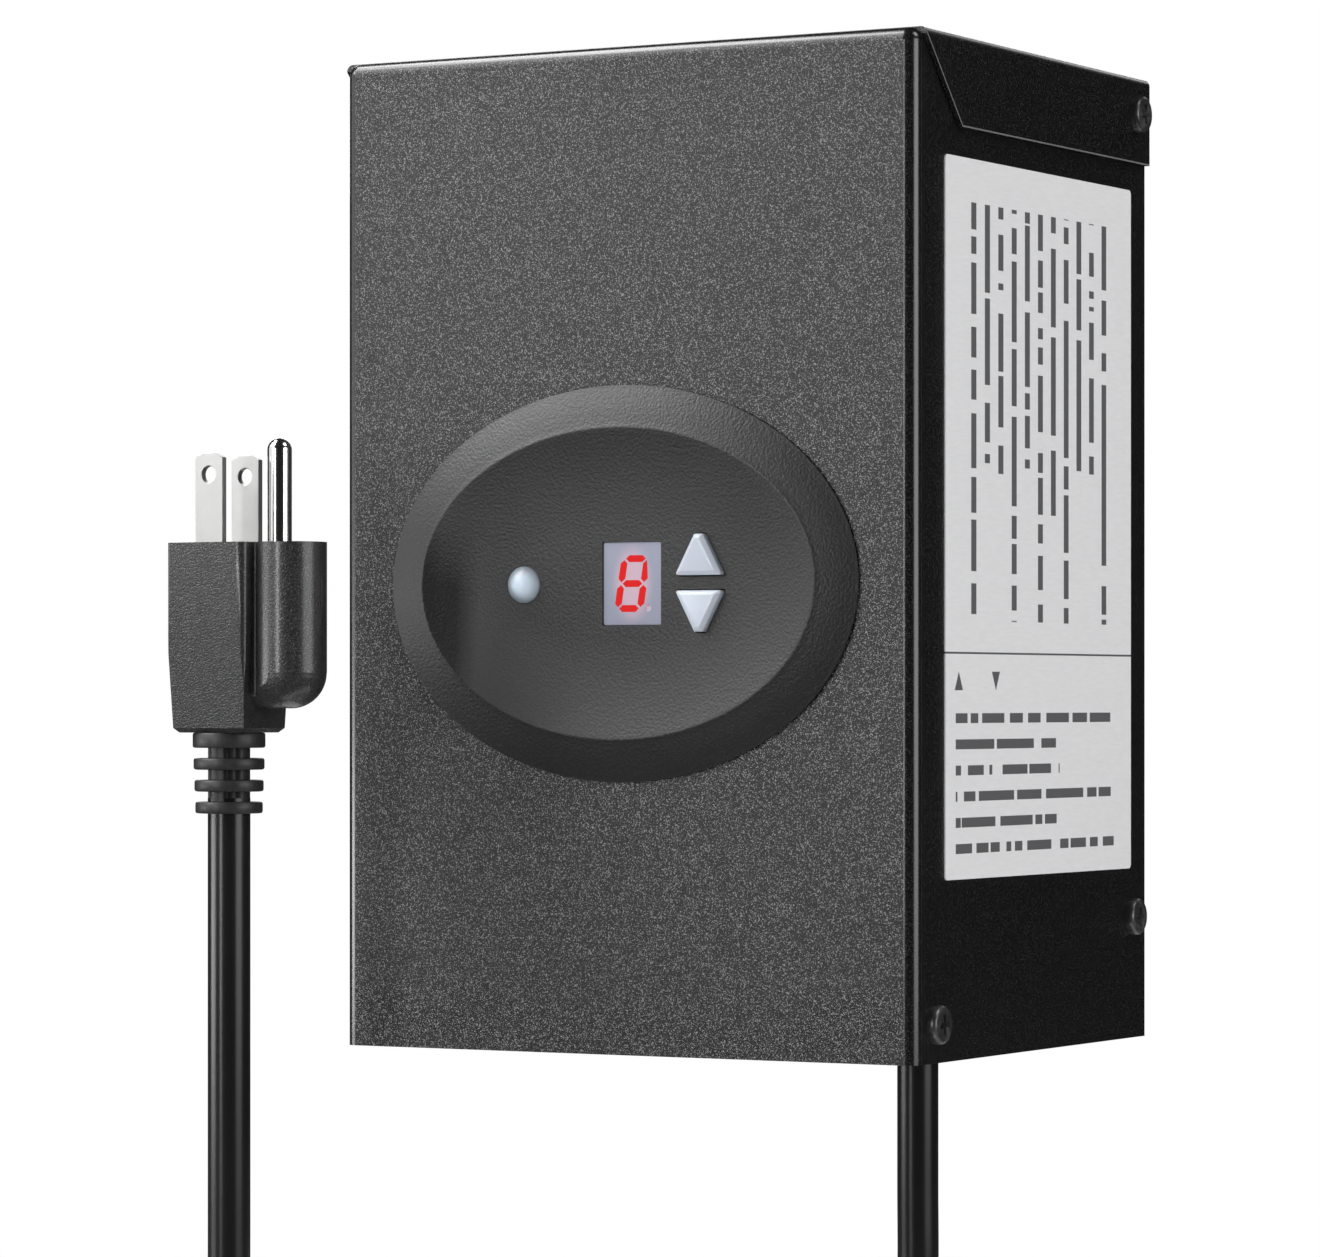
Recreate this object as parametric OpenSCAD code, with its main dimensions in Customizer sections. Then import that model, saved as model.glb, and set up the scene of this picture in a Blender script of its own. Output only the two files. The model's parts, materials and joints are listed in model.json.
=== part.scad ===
// Low voltage landscape transformer in a folded steel box that hangs on a wall.
// Frame: +X right, the front faces -Y, the wall is the plane Y = 0, +Z is up.
// The origin is the centre of the upper keyhole's round entry, on the rear face.

/* [Housing] */
// Width of the cover over its side panels
box_w = 130; // [122:1:170]
// Depth from the wall to the front panel
box_d = 107; // [101:1:150]
// Height of the cover
box_h = 200; // [188:1:260]
// Thickness of the steel sheet
sheet_t = 1; // [0.8:0.1:1.4]
// Outside radius of the bends in the cover
bend_r = 2.8; // [1.8:0.1:3.5]
// Outside radius of the bends between the top and its ears
ear_r = 1.4; // [1.2:0.1:2.2]
// Gap between neighbouring folded sheets
sheet_gap = 0.15; // [0.1:0.05:0.3]
// Height of the ears that turn down from the top
ear_h = 18; // [15:0.5:30]
// How far the slanted front edge of an ear runs back
ear_slant = 15.5; // [8:0.5:25]
// Skirt of the cover below the bottom plate
skirt_h = 24; // [22:0.5:34]
// Depth of the flanges that turn forward from the back plate
flange_d = 14; // [13:0.5:20]
// Diameter of the cover screws' heads
screw_head_d = 7.7; // [6:0.1:9]
// Height of the cover screws' heads
screw_head_h = 1.9; // [1.4:0.1:3]
// Shank diameter of the cover screws
screw_d = 3.8; // [3:0.1:4.5]
// Length of the cover screws' shanks
screw_l = 8; // [5:0.5:12]

/* [Wall fixing] */
// Distance of the upper keyhole's entry below the top of the cover
keyhole_drop = 30; // [22:1:45]
// Height of the lower keyhole's entry above the lower edge of the cover
keyhole_low = 42; // [41:1:60]
// Diameter of a keyhole's round entry
keyhole_d = 9; // [7:0.5:12]
// Width of a keyhole's slot
keyhole_slot = 5; // [4:0.5:6]
// Rise of a keyhole's slot above the entry
keyhole_rise = 8; // [6:0.5:12]

/* [Side label] */
// Width of the label plate, along the depth of the box
label_w = 87; // [60:1:95]
// Gap between the label plate and the ear above it
label_gap = 5.7; // [2:0.1:60]
// Thickness of the label plate
label_t = 0.3; // [0.2:0.05:0.6]
// Height of the label's lower edge above the lower edge of the cover
label_low = 35.3; // [31:0.1:40]

/* [Control panel] */
// Width of the oval bezel
bezel_w = 106; // [100:0.5:112]
// Height of the oval bezel
bezel_h = 78.6; // [72:0.2:86]
// Height of the bezel's centre above the lower edge of the cover
bezel_z = 93.3; // [88:0.1:110]
// Width of the sloping outer ring
bevel_w = 8.5; // [6:0.1:10]
// How far the crest stands out from the front panel
crest_h = 3; // [2:0.1:5]
// How far the floor of the dish stands out from the front panel
dish_h = 1; // [0.6:0.1:1.6]
// Half width of the oval opening in the front panel
opening_a = 41; // [40:0.2:42]
// Half height of the oval opening in the front panel
opening_b = 27.3; // [26.6:0.1:28]
// Distance from the bezel's side to the middle of the boss behind it
boss_edge = 4.7; // [4:0.1:5.4]
// Diameter of the light sensor's dome
sensor_d = 7.4; // [5:0.1:9]
// Place of the light sensor beside the bezel's centre
sensor_x = -21.9; // [-26:0.1:-16]
// Width of the display window
display_w = 13.1; // [12:0.1:15]
// Height of the display window
display_h = 16.3; // [15:0.1:19]
// Place of the display beside the bezel's centre
display_x = 2.9; // [0:0.1:4]
// Width of an arrow button at its base
arrow_w = 10.5; // [9:0.1:12]
// Height of an arrow button from base to tip
arrow_h = 8.1; // [7:0.1:9]
// Width of an arrow button's flat tip
arrow_tip = 1.9; // [1:0.1:3]
// Place of the arrow buttons beside the bezel's centre
arrow_x = 18.6; // [17.6:0.1:21]
// Gap between the two arrow buttons' bases
arrow_gap = 3; // [2.6:0.1:5]
// How far a button stands out from the dish
arrow_proud = 1.9; // [1.2:0.1:3]
// Travel of a button when it is pressed
button_travel = 0.8; // [0.3:0.1:0.9]

/* [Control board] */
// Width of the circuit board
board_w = 78; // [74:1:79]
// Height of the circuit board
board_h = 48; // [44:1:49]
// Thickness of the circuit board
board_t = 1.6; // [1:0.2:2]
// Gap between the bezel plate and the circuit board
board_gap = 6; // [5.6:0.2:8]
// Depth inside the plastic housing behind the front panel
housing_d = 26; // [25:0.5:29]
// Wall of the plastic housing
housing_t = 2; // [1.5:0.1:2.6]

/* [Transformer] */
// Width of the core's side limbs, from which the core takes its proportions
limb = 14; // [12:0.2:14.6]
// Room for wires between the windings and the plastic housing
wire_room = 17; // [14:0.5:24]
// How far the windings stand out in front of and behind the stack
coil_proud = 12; // [9:0.5:12.5]
// Height of the core's lower side above the bottom plate
core_lift = 17; // [15:0.5:20]
// Length of the spacers behind the core
spacer_l = 14; // [13:0.5:16]
// Diameter of the studs that hold the core
stud_d = 4; // [3:0.5:4.5]

/* [Terminals] */
// Width of the terminal block
block_w = 46; // [40:1:50]
// Depth of the terminal block
block_d = 20; // [18:1:24]
// Height of the terminal block's body
block_h = 11; // [9:0.5:12]
// Height of its barriers below the body
barrier_h = 6; // [4:0.5:7]

/* [Power cord] */
// Diameter of the cord
cord_d = 8.4; // [7:0.1:8.6]
// Length of the cable gland below the bottom plate
gland_l = 20; // [16:0.5:20]
// Diameter of the cable gland's threaded body
gland_d = 15; // [13:0.5:17]

/* [Plug] */
// Height of the moulded plug body
plug_h = 37.3; // [30:0.1:44]
// Width of the plug's flat face at its upper end
plug_w = 18.2; // [17:0.1:20]
// Width of the plug's flat face at the boot
plug_low_w = 16.6; // [15:0.1:17]
// Depth of the plug at its upper end
plug_d = 16.8; // [16:0.1:20]
// Depth of the plug at the boot
plug_low_d = 14.6; // [14.5:0.1:16]
// Distance between the two flat blades
blade_pitch = 12.7; // [12:0.1:13]
// Width of a flat blade
blade_w = 6.3; // [6:0.1:7]
// Thickness of a flat blade
blade_t = 1.5; // [1.2:0.1:1.8]
// Length of a flat blade beyond the plug body
blade_l = 17.5; // [15:0.1:18.5]
// Distance of the round pin from the line between the blades
pin_x = 11.9; // [11:0.1:13]
// Diameter of the round pin
pin_d = 4.8; // [4.4:0.1:5]
// Length of the round pin beyond the plug body
pin_l = 20.5; // [18:0.1:22]
// Radius of the bulge round the pin
bulge_r = 7; // [6.4:0.1:7.4]
// Diameter of the boot's collar
boot_d = 14.3; // [13:0.1:14.5]
// Height of the boot's collar
collar_h = 3; // [2:0.1:4]
// Height of one of the boot's rings
ring_h = 2.3; // [1.6:0.1:3]
// Gap between two of the boot's rings
ring_gap = 2; // [1.4:0.1:3]

/* [Hidden] */

// Fineness of round shapes
$fn = 48;
fine_fn = 72;
// Overrun of cuts beyond the faces that they open
cut = 0.5;
// Clearance of fixed pieces in their seats
seat = 0.1;
// Clearance of parts that slide
slide = 0.25;

// The cover's lower edge, its top, and the faces inside its sheet
origin_h = 170;
base_z = -origin_h;
top_z = base_z + box_h;
inner_x = box_w / 2 - sheet_t;
chassis_x = inner_x - sheet_gap;
chassis_w = 2 * chassis_x;
chassis_top = top_z - sheet_t - sheet_gap;
ear_w = box_w + 2 * (sheet_t + sheet_gap);
plate_top = base_z + skirt_h + sheet_t;
plate_low = base_z + skirt_h;
plate_front = -(box_d - bend_r);

// Cover screws: how far from the wall, and how high
rear_screw_y = -6;
front_screw_in = 9;
front_screw_y = -box_d + front_screw_in;
top_screw_drop = 7.8;
rear_screw_h = 25.2;
front_screw_h = 7.5;
screw_hole_gap = 0.3;
head_dome_share = 0.55;
recess_width_share = 0.13;
recess_span_share = 0.56;
recess_depth_share = 0.6;

// Side label: its height, how far its middle lies behind the middle of the side, and its corners
label_h = box_h - ear_h - label_gap - label_low;
label_shift = 2.4;
label_round = 1;

// The bottom plate's legs, lip and rear tongue
leg_up = 2;
leg_screw_gap = 1;
lip_h = 11;
lip_w = 96;
rivet_x = 42;
rivet_d = 3.2;
rivet_head_d = 6;
rivet_head_h = 1.2;
top_lip_d = 11;

// Control panel: heights over the front panel, negative ones behind its face
plate_back = -sheet_t;
rim_h = 0.6;
crest_w = 0.8;
dish_run = 11;
gasket_gap = 0.8;
gasket_w = 2.4;
gasket_t = 0.8;
gasket_a = opening_a + gasket_gap + gasket_w;
gasket_b = opening_b + gasket_gap + gasket_w;
boss_d = 5.6;
boss_x = bezel_w / 2 - boss_edge;
pilot_d = 2.2;
board_boss_x = 30;
board_boss_y = 15;
dome_rise = 2.1;
dome_flange = 1;
dome_flange_t = 0.9;
lens_recess = 0.35;
key_bevel = 0.7;
key_flange = 0.9;
key_flange_t = 0.8;
key_rest_gap = 0.1;
board_front = plate_back - board_gap;
board_back = board_front - board_t;
flange_back = plate_back - key_rest_gap - key_flange_t;
tact_w = 6;
tact_h = 3.4;
plunger_d = 3.4;
plunger_top = flange_back - key_rest_gap;
plunger_in = 1.2;
key_middle_share = 0.45;
key_middle = arrow_h * key_middle_share;
module_face = plate_back - seat;
segment_depth = 0.5;
segment_w = 1.35;
digit_w = 5.9;
digit_h = 11.2;
digit_slant_share = 0.1;
segment_gap = 0.28;
dot_d = 1.3;

// Plastic housing behind the panel
case_gap = 1;
case_edge = 4.2;
case_rim = 3;
case_w = board_w + 2 * (case_gap + housing_t);
case_h = board_h + 2 * (case_gap + housing_t);
case_r = 4;
case_flange_w = 2 * (boss_x + case_edge);
case_flange_h = case_h + 2 * case_rim;
case_flange_r = 9;
case_flange_t = 1.6;
case_hole_x = -22;
case_hole_y = -17.5;
case_hole_d = 8;

// Parts on the circuit board
relay_w = 19;
relay_h = 15;
relay_d = 15.4;
relay_x = -22;
relay_y = 2;
cap_d = 10;
cap_l = 15;
cap_x = 14;
cap_y = 10;
chip_w = 10;
chip_h = 7.5;
chip_t = 2.3;
chip_x = 14;
chip_y = -10;
leg_w = 0.5;
leg_l = 1.3;
leg_t = 0.3;
header_w = 10;
header_h = 6;
header_l = 9;
cell_d = 5;
cell_t = 2.1;
cell_gap = 0.3;
cell_leg_d = 0.6;
cell_leg_x = 1.7;
board_screw_d = 2;
board_head_d = 4.6;
board_head_h = 1.6;
board_screw_l = 5;

// Transformer core and windings
core_w = 6 * limb;
core_h = 5 * limb;
window_h = 3 * limb;
stack_t = box_d - 2 * sheet_t - spacer_l - coil_proud - wire_room - housing_t - housing_d;
core_back = -(sheet_t + spacer_l);
core_y = core_back - stack_t / 2;
core_low = plate_top + core_lift;
core_z = core_low + core_h / 2;
stud_x = core_w / 2 - limb / 2;
stud_z = core_h / 2 - limb / 2;
spacer_d = 9;
bobbin_gap = 0.3;
bobbin_t = 1.2;
primary_share = 0.42;
winding_gap = 0.2;
tape_t = 0.4;
winding_round = 1;
bobbin_in_x = limb + bobbin_gap;
bobbin_in_y = stack_t / 2 + bobbin_gap;
bobbin_out_x = 2 * limb - bobbin_gap;
bobbin_out_y = stack_t / 2 + coil_proud;
wound_h = window_h - 2 * bobbin_gap - 2 * bobbin_t;
winding_x0 = bobbin_in_x + bobbin_t + winding_gap;
winding_y0 = bobbin_in_y + bobbin_t + winding_gap;
winding_x1 = bobbin_out_x - tape_t - winding_gap;
winding_y1 = bobbin_out_y - tape_t - winding_gap;
layer_x = winding_x0 + primary_share * (winding_x1 - winding_x0);
layer_y = winding_y0 + primary_share * (winding_y1 - winding_y0);
nut_w = 7;
nut_h = 3.2;
stud_beyond = 5;

// Thermal breaker on the back plate
breaker_w = 33;
breaker_h = 15;
breaker_d = 12;
breaker_x = -34;
breaker_up = 14;
breaker_low = core_low + core_h + breaker_up;
breaker_tab = 8;
breaker_tab_t = 1.2;
blade_tab_w = 6.3;
blade_tab_t = 0.8;
blade_tab_l = 8;
breaker_pole = 8;

// Terminal block below the bottom plate
block_x = -28;
block_y = -72;
pole = 8.2;
rib_t = 2.4;
strap_w = 13;
strap_d = 15;
strap_t = 1;
binding_head_d = 7.4;
binding_head_h = 2.3;
binding_d = 3.8;
binding_l = 6;
block_screw_d = 3;
block_screw_head_d = 4.4;
block_screw_head_h = 1.8;
block_ear = 3.2;
slot_side = 3;
tab_up = 8;

// Ground lug on the back plate
lug_x = 51;
lug_up = 16;
lug_z = core_low + lug_up;
lug_d = 8;
lug_t = 1;
lug_l = 10;
lug_bore = 3.9;
lug_screw_d = 3.5;
lug_head_d = 6.6;
lug_head_h = 2.2;

// Cable gland
gland_x = 37;
gland_y = -50;
gland_flange_d = 21;
gland_flange_h = 3;
gland_neck_d = 15;
gland_tip_d = 10.8;
gland_up = 7;
gland_nut_d = 22;
gland_nut_h = 4.5;
gland_low = plate_low - gland_l;
gland_top = plate_top + gland_up;

// Inner wires
wire_d = 2.6;
wire_sides = 6;
wire_steps = 4;
wire_end_gap = 0.25;
wire_nut_d = 10;
wire_nut_tip_d = 5;
wire_nut_l = 18;
nut_pitch = 15;
nut_x = 6;
nut_set_back = 4;
nut_z = core_low + core_h + wire_nut_d / 2 + seat;

// Cord route, in the frame of the part: the lead down from the gland to the coil
cord_sides = 8;
lead_points = [
  [37, -50, -166], [37, -50, -182], [37, -50, -199], [37, -50, -216],
  [36, -50, -225], [32.5, -50, -233], [27, -50, -240], [20, -50, -245.5],
  [12, -50, -249], [3, -50, -250], [-1.5, -50, -250]
];
// The lead from the coil up to the plug
plug_points = [
  [-65, -113.5, -259], [-65, -115, -259],
  [-65, -124, -258], [-65, -132, -254.5], [-65, -139, -249], [-65, -144.5, -242],
  [-65, -148, -234], [-65, -149, -225], [-65, -149, -205], [-65, -149, -185],
  [-65, -149, -165], [-65, -149, -145], [-65, -149, -122]
];
// The coil: its centre, outer radius, loops, and the pitch of turns and layers
coil_x = -10;
coil_y = -105;
coil_z = -250;
coil_r = 55;
coil_loops = 4.25;
turn_pitch = 9.2;
layer_pitch = 9;
coil_sides = 6;
rings_per_loop = 24;
coil_start_angle = 90;
coil_end_l = 8.5;
climb_loops = 0.5;
tie_angle = 300;
tie_w = 9;
tie_t = 1;
tie_gap = 0.7;
tie_slack_share = 0.1;

// Plug: its place on the cord and the sizes of its moulding
plug_x = -65;
plug_y = -149;
boot_z = -122;
boot_rings = 3;
boot_taper = 0.35;
core_d = 8.6;
slot_core_d = 6.6;
boot_rib_w = 3.4;
boot_h = collar_h + boot_rings * (ring_h + ring_gap);
plug_z = boot_z + boot_h;
plug_top = plug_z + plug_h;
taper_h = 20.8;
edge_r = 2;
corner_r = 0.8;
foot_r = 0.9;
web_r = 0.5;
bulge_out = 2.7;
bulge_x = pin_x + bulge_out;
bulge_low = 4.7;
pin_recess = 6;
pin_root_d = 5.8;
blade_hole_d = 3.4;
blade_hole_drop = 4.2;
blade_clip = 1.7;
blade_clip_h = 0.9;

// A point on an oval with half axes a and b
function oval_points(a, b, n) = [for (i = [0:n - 1]) [a * cos(360 * i / n), b * sin(360 * i / n)]];

// Points along an arc
function arc_points(x, y, r, from, to, n) =
  [for (i = [0:n]) [x + r * cos(from + (to - from) * i / n), y + r * sin(from + (to - from) * i / n)]];

// Outline of an arrow key whose edges all move out by grow
function arrow_points(grow) =
  let (
    dx = (arrow_w - arrow_tip) / 2,
    out = grow * sqrt(dx * dx + arrow_h * arrow_h) / arrow_h,
    low_x = arrow_w / 2 + dx / arrow_h * grow + out,
    high_x = arrow_tip / 2 - dx / arrow_h * grow + out
  ) [[-low_x, -grow], [low_x, -grow], [high_x, arrow_h + grow], [-high_x, arrow_h + grow]];

function unit(v) = v / norm(v);

// Direction of a route at point i, from its neighbours
function along(p, i) =
  i == 0 ? unit(p[1] - p[0]) :
  i == len(p) - 1 ? unit(p[i] - p[i - 1]) :
  unit(unit(p[i] - p[i - 1]) + unit(p[i + 1] - p[i]));

// The ring of a tube round point i, turned by the side vector
function tube_ring(p, i, r, side, n) =
  let (t = along(p, i), u = unit(cross(side, t)), v = cross(t, u))
  [for (k = [0:n - 1]) p[i] + r * (cos(360 * k / n) * u + sin(360 * k / n) * v)];

// Points of a smooth curve through the given points, with steps between each two
function spline_point(p, i, t) =
  let (
    last = len(p) - 1,
    a = p[max(i - 1, 0)],
    b = p[i],
    c = p[min(i + 1, last)],
    d = p[min(i + 2, last)]
  ) 0.5 * (2 * b + (c - a) * t + (2 * a - 5 * b + 4 * c - d) * t * t + (3 * b - a - 3 * c + d) * t * t * t);
function spline(p, steps) =
  concat([for (i = [0:len(p) - 2]) for (k = [0:steps - 1]) spline_point(p, i, k / steps)], [p[len(p) - 1]]);

// The coil's centre line: in along the upper layer, down a layer, and out along the lower one
coil_turn = 360 * coil_loops;
function coil_fall(a) = min(1, max(0, (a - coil_turn / 2 + 180 * climb_loops) / (360 * climb_loops)));
function coil_point(a) =
  let (
    r = coil_r - turn_pitch * (coil_turn / 2 - abs(a - coil_turn / 2)) / 360,
    turned = coil_start_angle + a
  ) [coil_x + r * cos(turned), coil_y + r * sin(turned), coil_z - layer_pitch * coil_fall(a)];
coil_rings = rings_per_loop * coil_loops;
coil_start = coil_point(0);
coil_finish = coil_point(coil_turn);
coil_points = concat(
  [coil_start + [coil_end_l, 0, 0]],
  [for (i = [0:coil_rings]) coil_point(coil_turn * i / coil_rings)],
  [coil_finish - [0, coil_end_l, 0]]
);

// Least distance between points of the coil that lie over half a loop apart, less the cord
gap_rings = rings_per_loop * 3;
gap_points = [for (i = [0:gap_rings * coil_loops]) coil_point(360 * i / gap_rings)];
coil_gap = min([for (i = [0:len(gap_points) - 1])
  for (j = [i + gap_rings / 2:len(gap_points) - 1]) norm(gap_points[i] - gap_points[j])]) - cord_d;
echo(coil_gap = coil_gap);

// A rectangle with round corners, centred
module round_rect(w, h, r) {
  square([w - 2 * r, h], center = true);
  square([w, h - 2 * r], center = true);
  for (x = [-1, 1]) for (y = [-1, 1]) translate([x * (w / 2 - r), y * (h / 2 - r)]) circle(r);
}

// A channel of bent sheet: its web lies along -Y at depth d, its legs reach back to Y = 0
module channel(w, d, r, t) {
  difference() {
    channel_fill(w, d, r);
    translate([0, t]) channel_fill(w - 2 * t, d, r - t);
  }
}

// The area that a channel takes up, with its two front corners rounded
module channel_fill(w, d, r) {
  translate([-w / 2 + r, -d]) square([w - 2 * r, d]);
  translate([-w / 2, -d + r]) square([w, d - r]);
  for (x = [-1, 1]) translate([x * (w / 2 - r), -d + r]) circle(r);
}

// A ring between two ovals
module oval_ring(a, b, w) {
  difference() {
    polygon(oval_points(a, b, fine_fn));
    polygon(oval_points(a - w, b - w, fine_fn));
  }
}

// Stacked rings of points, closed by flat ends, as one skin
module skin(rings) {
  n = len(rings[0]);
  m = len(rings);
  points = [for (ring = rings) each ring];
  walls = [for (j = [0:m - 2]) for (i = [0:n - 1]) let (k = (i + 1) % n)
    each [[j * n + i, (j + 1) * n + i, (j + 1) * n + k], [j * n + i, (j + 1) * n + k, j * n + k]]];
  low = [[for (i = [0:n - 1]) i]];
  high = [[for (i = [0:n - 1]) m * n - 1 - i]];
  polyhedron(points, concat(low, walls, high), convexity = 6);
}

// A tube along a route
module tube(p, d, side, n) {
  skin([for (i = [0:len(p) - 1]) tube_ring(p, i, d / 2, side, n)]);
}

// A wire that bends smoothly through its points, with a straight end at each side
module wire(p, side) {
  last = len(p) - 1;
  middle = spline([for (i = [1:last - 1]) p[i]], wire_steps);
  tube(concat([p[0]], middle, [p[last]]), wire_d, side, wire_sides);
}

// A pan head screw along -Z, its head's seat at Z = 0, with a cross recess
module pan_screw(head_d, head_h, shank_d, shank_l) {
  dome = head_h * head_dome_share;
  ball = (head_d * head_d / 4 + dome * dome) / (2 * dome);
  recess_w = head_d * recess_width_share;
  difference() {
    intersection() {
      cylinder(d = head_d, h = head_h);
      translate([0, 0, head_h - ball]) sphere(ball);
    }
    for (a = [0, 90]) rotate(a)
      translate([-head_d * recess_span_share / 2, -recess_w / 2, head_h * (1 - recess_depth_share)])
        cube([head_d * recess_span_share, recess_w, head_h]);
  }
  translate([0, 0, -shank_l]) cylinder(d = shank_d, h = shank_l + head_h * (1 - recess_depth_share));
}

// Moves panel parts to the bezel's centre: X right, Y up, Z out of the front panel
module on_panel() {
  translate([0, -box_d, base_z + bezel_z]) rotate([90, 0, 0]) children();
}

// Moves a part to each place where a cover screw goes, its Z axis out of the side
module at_cover_screws() {
  for (side = [-1, 1]) {
    translate([side * ear_w / 2, rear_screw_y, top_z - top_screw_drop]) rotate([0, side * 90, 0]) children();
    translate([side * box_w / 2, rear_screw_y, base_z + rear_screw_h]) rotate([0, side * 90, 0]) children();
    translate([side * box_w / 2, front_screw_y, base_z + front_screw_h]) rotate([0, side * 90, 0]) children();
  }
}

module screw_holes() {
  at_cover_screws() translate([0, 0, -screw_l]) cylinder(d = screw_d + screw_hole_gap, h = screw_l + cut);
}

// Folded cover: front, two sides, and a top whose ears turn down outside the sides
module front_cover() {
  color("dimgray") difference() {
    union() {
      translate([0, 0, base_z]) linear_extrude(box_h - bend_r) channel(box_w, box_d, bend_r, sheet_t);
      for (side = [-1, 1]) translate([side * (box_w - sheet_t) / 2, -(box_d - bend_r) / 2, base_z])
        linear_extrude(box_h - sheet_t - sheet_gap) square([sheet_t, box_d - bend_r], center = true);
      cover_top_bend();
      cover_corners();
      cover_top();
    }
    on_panel() {
      translate([0, 0, -sheet_t - cut]) linear_extrude(sheet_t + 2 * cut)
        polygon(oval_points(opening_a, opening_b, fine_fn));
      for (side = [-1, 1]) translate([side * boss_x, 0, -sheet_t - cut])
        cylinder(d = boss_d + 2 * slide, h = sheet_t + 2 * cut);
    }
    screw_holes();
  }
}

// The round bend between the front and the top
module cover_top_bend() {
  long = box_w - 2 * bend_r;
  translate([-long / 2, 0, 0]) rotate([90, 0, 90]) linear_extrude(long) difference() {
    union() {
      translate([-box_d + bend_r, top_z - bend_r]) circle(bend_r);
      translate([-box_d, top_z - 2 * bend_r]) square([bend_r, bend_r]);
      translate([-box_d + bend_r, top_z - bend_r]) square([bend_r, bend_r]);
    }
    translate([-box_d + bend_r, top_z - bend_r]) circle(bend_r - sheet_t);
    translate([-box_d + sheet_t, top_z - 3 * bend_r]) square([2 * bend_r, 2 * bend_r]);
    translate([-box_d + bend_r, top_z - bend_r - sheet_t]) square([2 * bend_r, bend_r]);
  }
}

// The drawn corners that close the front bends, each an eighth of a hollow ball
module cover_corners() {
  for (side = [0, 1]) mirror([side, 0, 0])
    translate([box_w / 2 - bend_r, -box_d + bend_r, top_z - bend_r]) intersection() {
      difference() {
        sphere(bend_r);
        sphere(bend_r - sheet_t);
      }
      translate([0, -bend_r - cut, 0]) cube(bend_r + cut);
    }
}

// The top with its two ears, whose front edges slant back
module cover_top() {
  top_d = box_d - bend_r;
  difference() {
    translate([0, 0, top_z - ear_h]) rotate([90, 0, 0]) linear_extrude(top_d)
      mirror([0, 1]) channel(ear_w, ear_h, ear_r, sheet_t);
    for (side = [-1, 1]) translate([side * ear_w / 2, 0, 0]) rotate([90, 0, 90])
      linear_extrude(2 * sheet_t + 2 * sheet_gap, center = true) polygon([
        [-top_d - cut, top_z - ear_r], [-top_d, top_z - ear_r],
        [-top_d + ear_slant, top_z - ear_h], [-top_d + ear_slant, top_z - ear_h - cut],
        [-top_d - cut, top_z - ear_h - cut]
      ]);
  }
}

// A keyhole through the back plate: a round entry with a slot above it
module keyhole() {
  rotate([90, 0, 0]) translate([0, 0, -cut]) {
    cylinder(d = keyhole_d, h = sheet_t + 2 * cut);
    linear_extrude(sheet_t + 2 * cut) {
      translate([-keyhole_slot / 2, 0]) square([keyhole_slot, keyhole_rise]);
      translate([0, keyhole_rise]) circle(d = keyhole_slot);
    }
  }
}

// Back plate against the wall, with flanges along its sides and top
module back_plate() {
  color("slategray") difference() {
    union() {
      translate([0, 0, base_z]) linear_extrude(box_h - sheet_t - sheet_gap)
        mirror([0, 1]) translate([0, flange_d]) channel(chassis_w, flange_d, bend_r, sheet_t);
      translate([-chassis_x + bend_r, -top_lip_d, chassis_top - sheet_t])
        cube([chassis_w - 2 * bend_r, top_lip_d, sheet_t]);
    }
    translate([0, 0, top_z - keyhole_drop]) keyhole();
    translate([0, 0, base_z + keyhole_low]) keyhole();
    screw_holes();
    at_rivets() translate([0, 0, -cut]) cylinder(d = rivet_d + seat, h = sheet_t + 2 * cut);
  }
}

// Moves a part to the two rivets behind the bottom plate's lip, its Z axis towards the front
module at_rivets() {
  for (side = [-1, 1]) translate([side * rivet_x, 0, plate_top + lip_h / 2]) rotate([90, 0, 0]) children();
}

// Recessed bottom plate with legs turned down and a rear lip turned up
module bottom_plate() {
  leg_h = skirt_h + sheet_t - leg_up;
  pan_back = -(flange_d + leg_screw_gap);
  pan_d = -plate_front + pan_back;
  color("slategray") difference() {
    union() {
      translate([0, pan_back, plate_top - leg_h]) rotate([90, 0, 0]) linear_extrude(pan_d)
        mirror([0, 1]) channel(chassis_w, leg_h, bend_r, sheet_t);
      translate([-lip_w / 2, pan_back - cut, plate_low]) cube([lip_w, -pan_back + cut - sheet_t, sheet_t]);
      translate([-lip_w / 2, -2 * sheet_t, plate_low]) cube([lip_w, sheet_t, lip_h + sheet_t]);
    }
    screw_holes();
    at_rivets() cylinder(d = rivet_d + seat, h = 3 * sheet_t);
    translate([gland_x, gland_y, plate_low - cut]) cylinder(d = gland_d + 2 * seat, h = sheet_t + 2 * cut);
    for (side = [-1, 1]) translate([block_x + side * pole, block_y, plate_low + sheet_t / 2])
      cube([blade_tab_w + slot_side, blade_tab_t + slot_side, sheet_t + 2 * cut], center = true);
    at_block_screws() translate([0, 0, -cut])
      cylinder(d = block_screw_d + seat, h = sheet_t + block_h + 2 * cut);
  }
}

// The six screws that hold the cover
module cover_screws() {
  color("dimgray") at_cover_screws() pan_screw(screw_head_d, screw_head_h, screw_d, screw_l);
}

// Two rivets through the back plate and the bottom plate's lip
module chassis_rivets() {
  color("silver") at_rivets() {
    translate([0, 0, sheet_t / 4]) cylinder(d = rivet_d, h = 2 * sheet_t);
    translate([0, 0, 2 * sheet_t]) intersection() {
      cylinder(d = rivet_head_d, h = rivet_head_h);
      translate([0, 0, rivet_head_h - rivet_head_d]) sphere(rivet_head_d);
    }
  }
}

// Thin silver plate on the right side panel
module side_label() {
  color("silver") translate([box_w / 2, -box_d / 2 + label_shift, base_z + label_low + label_h / 2])
    rotate([90, 0, 90]) linear_extrude(label_t) round_rect(label_w, label_h, label_round);
}

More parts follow.
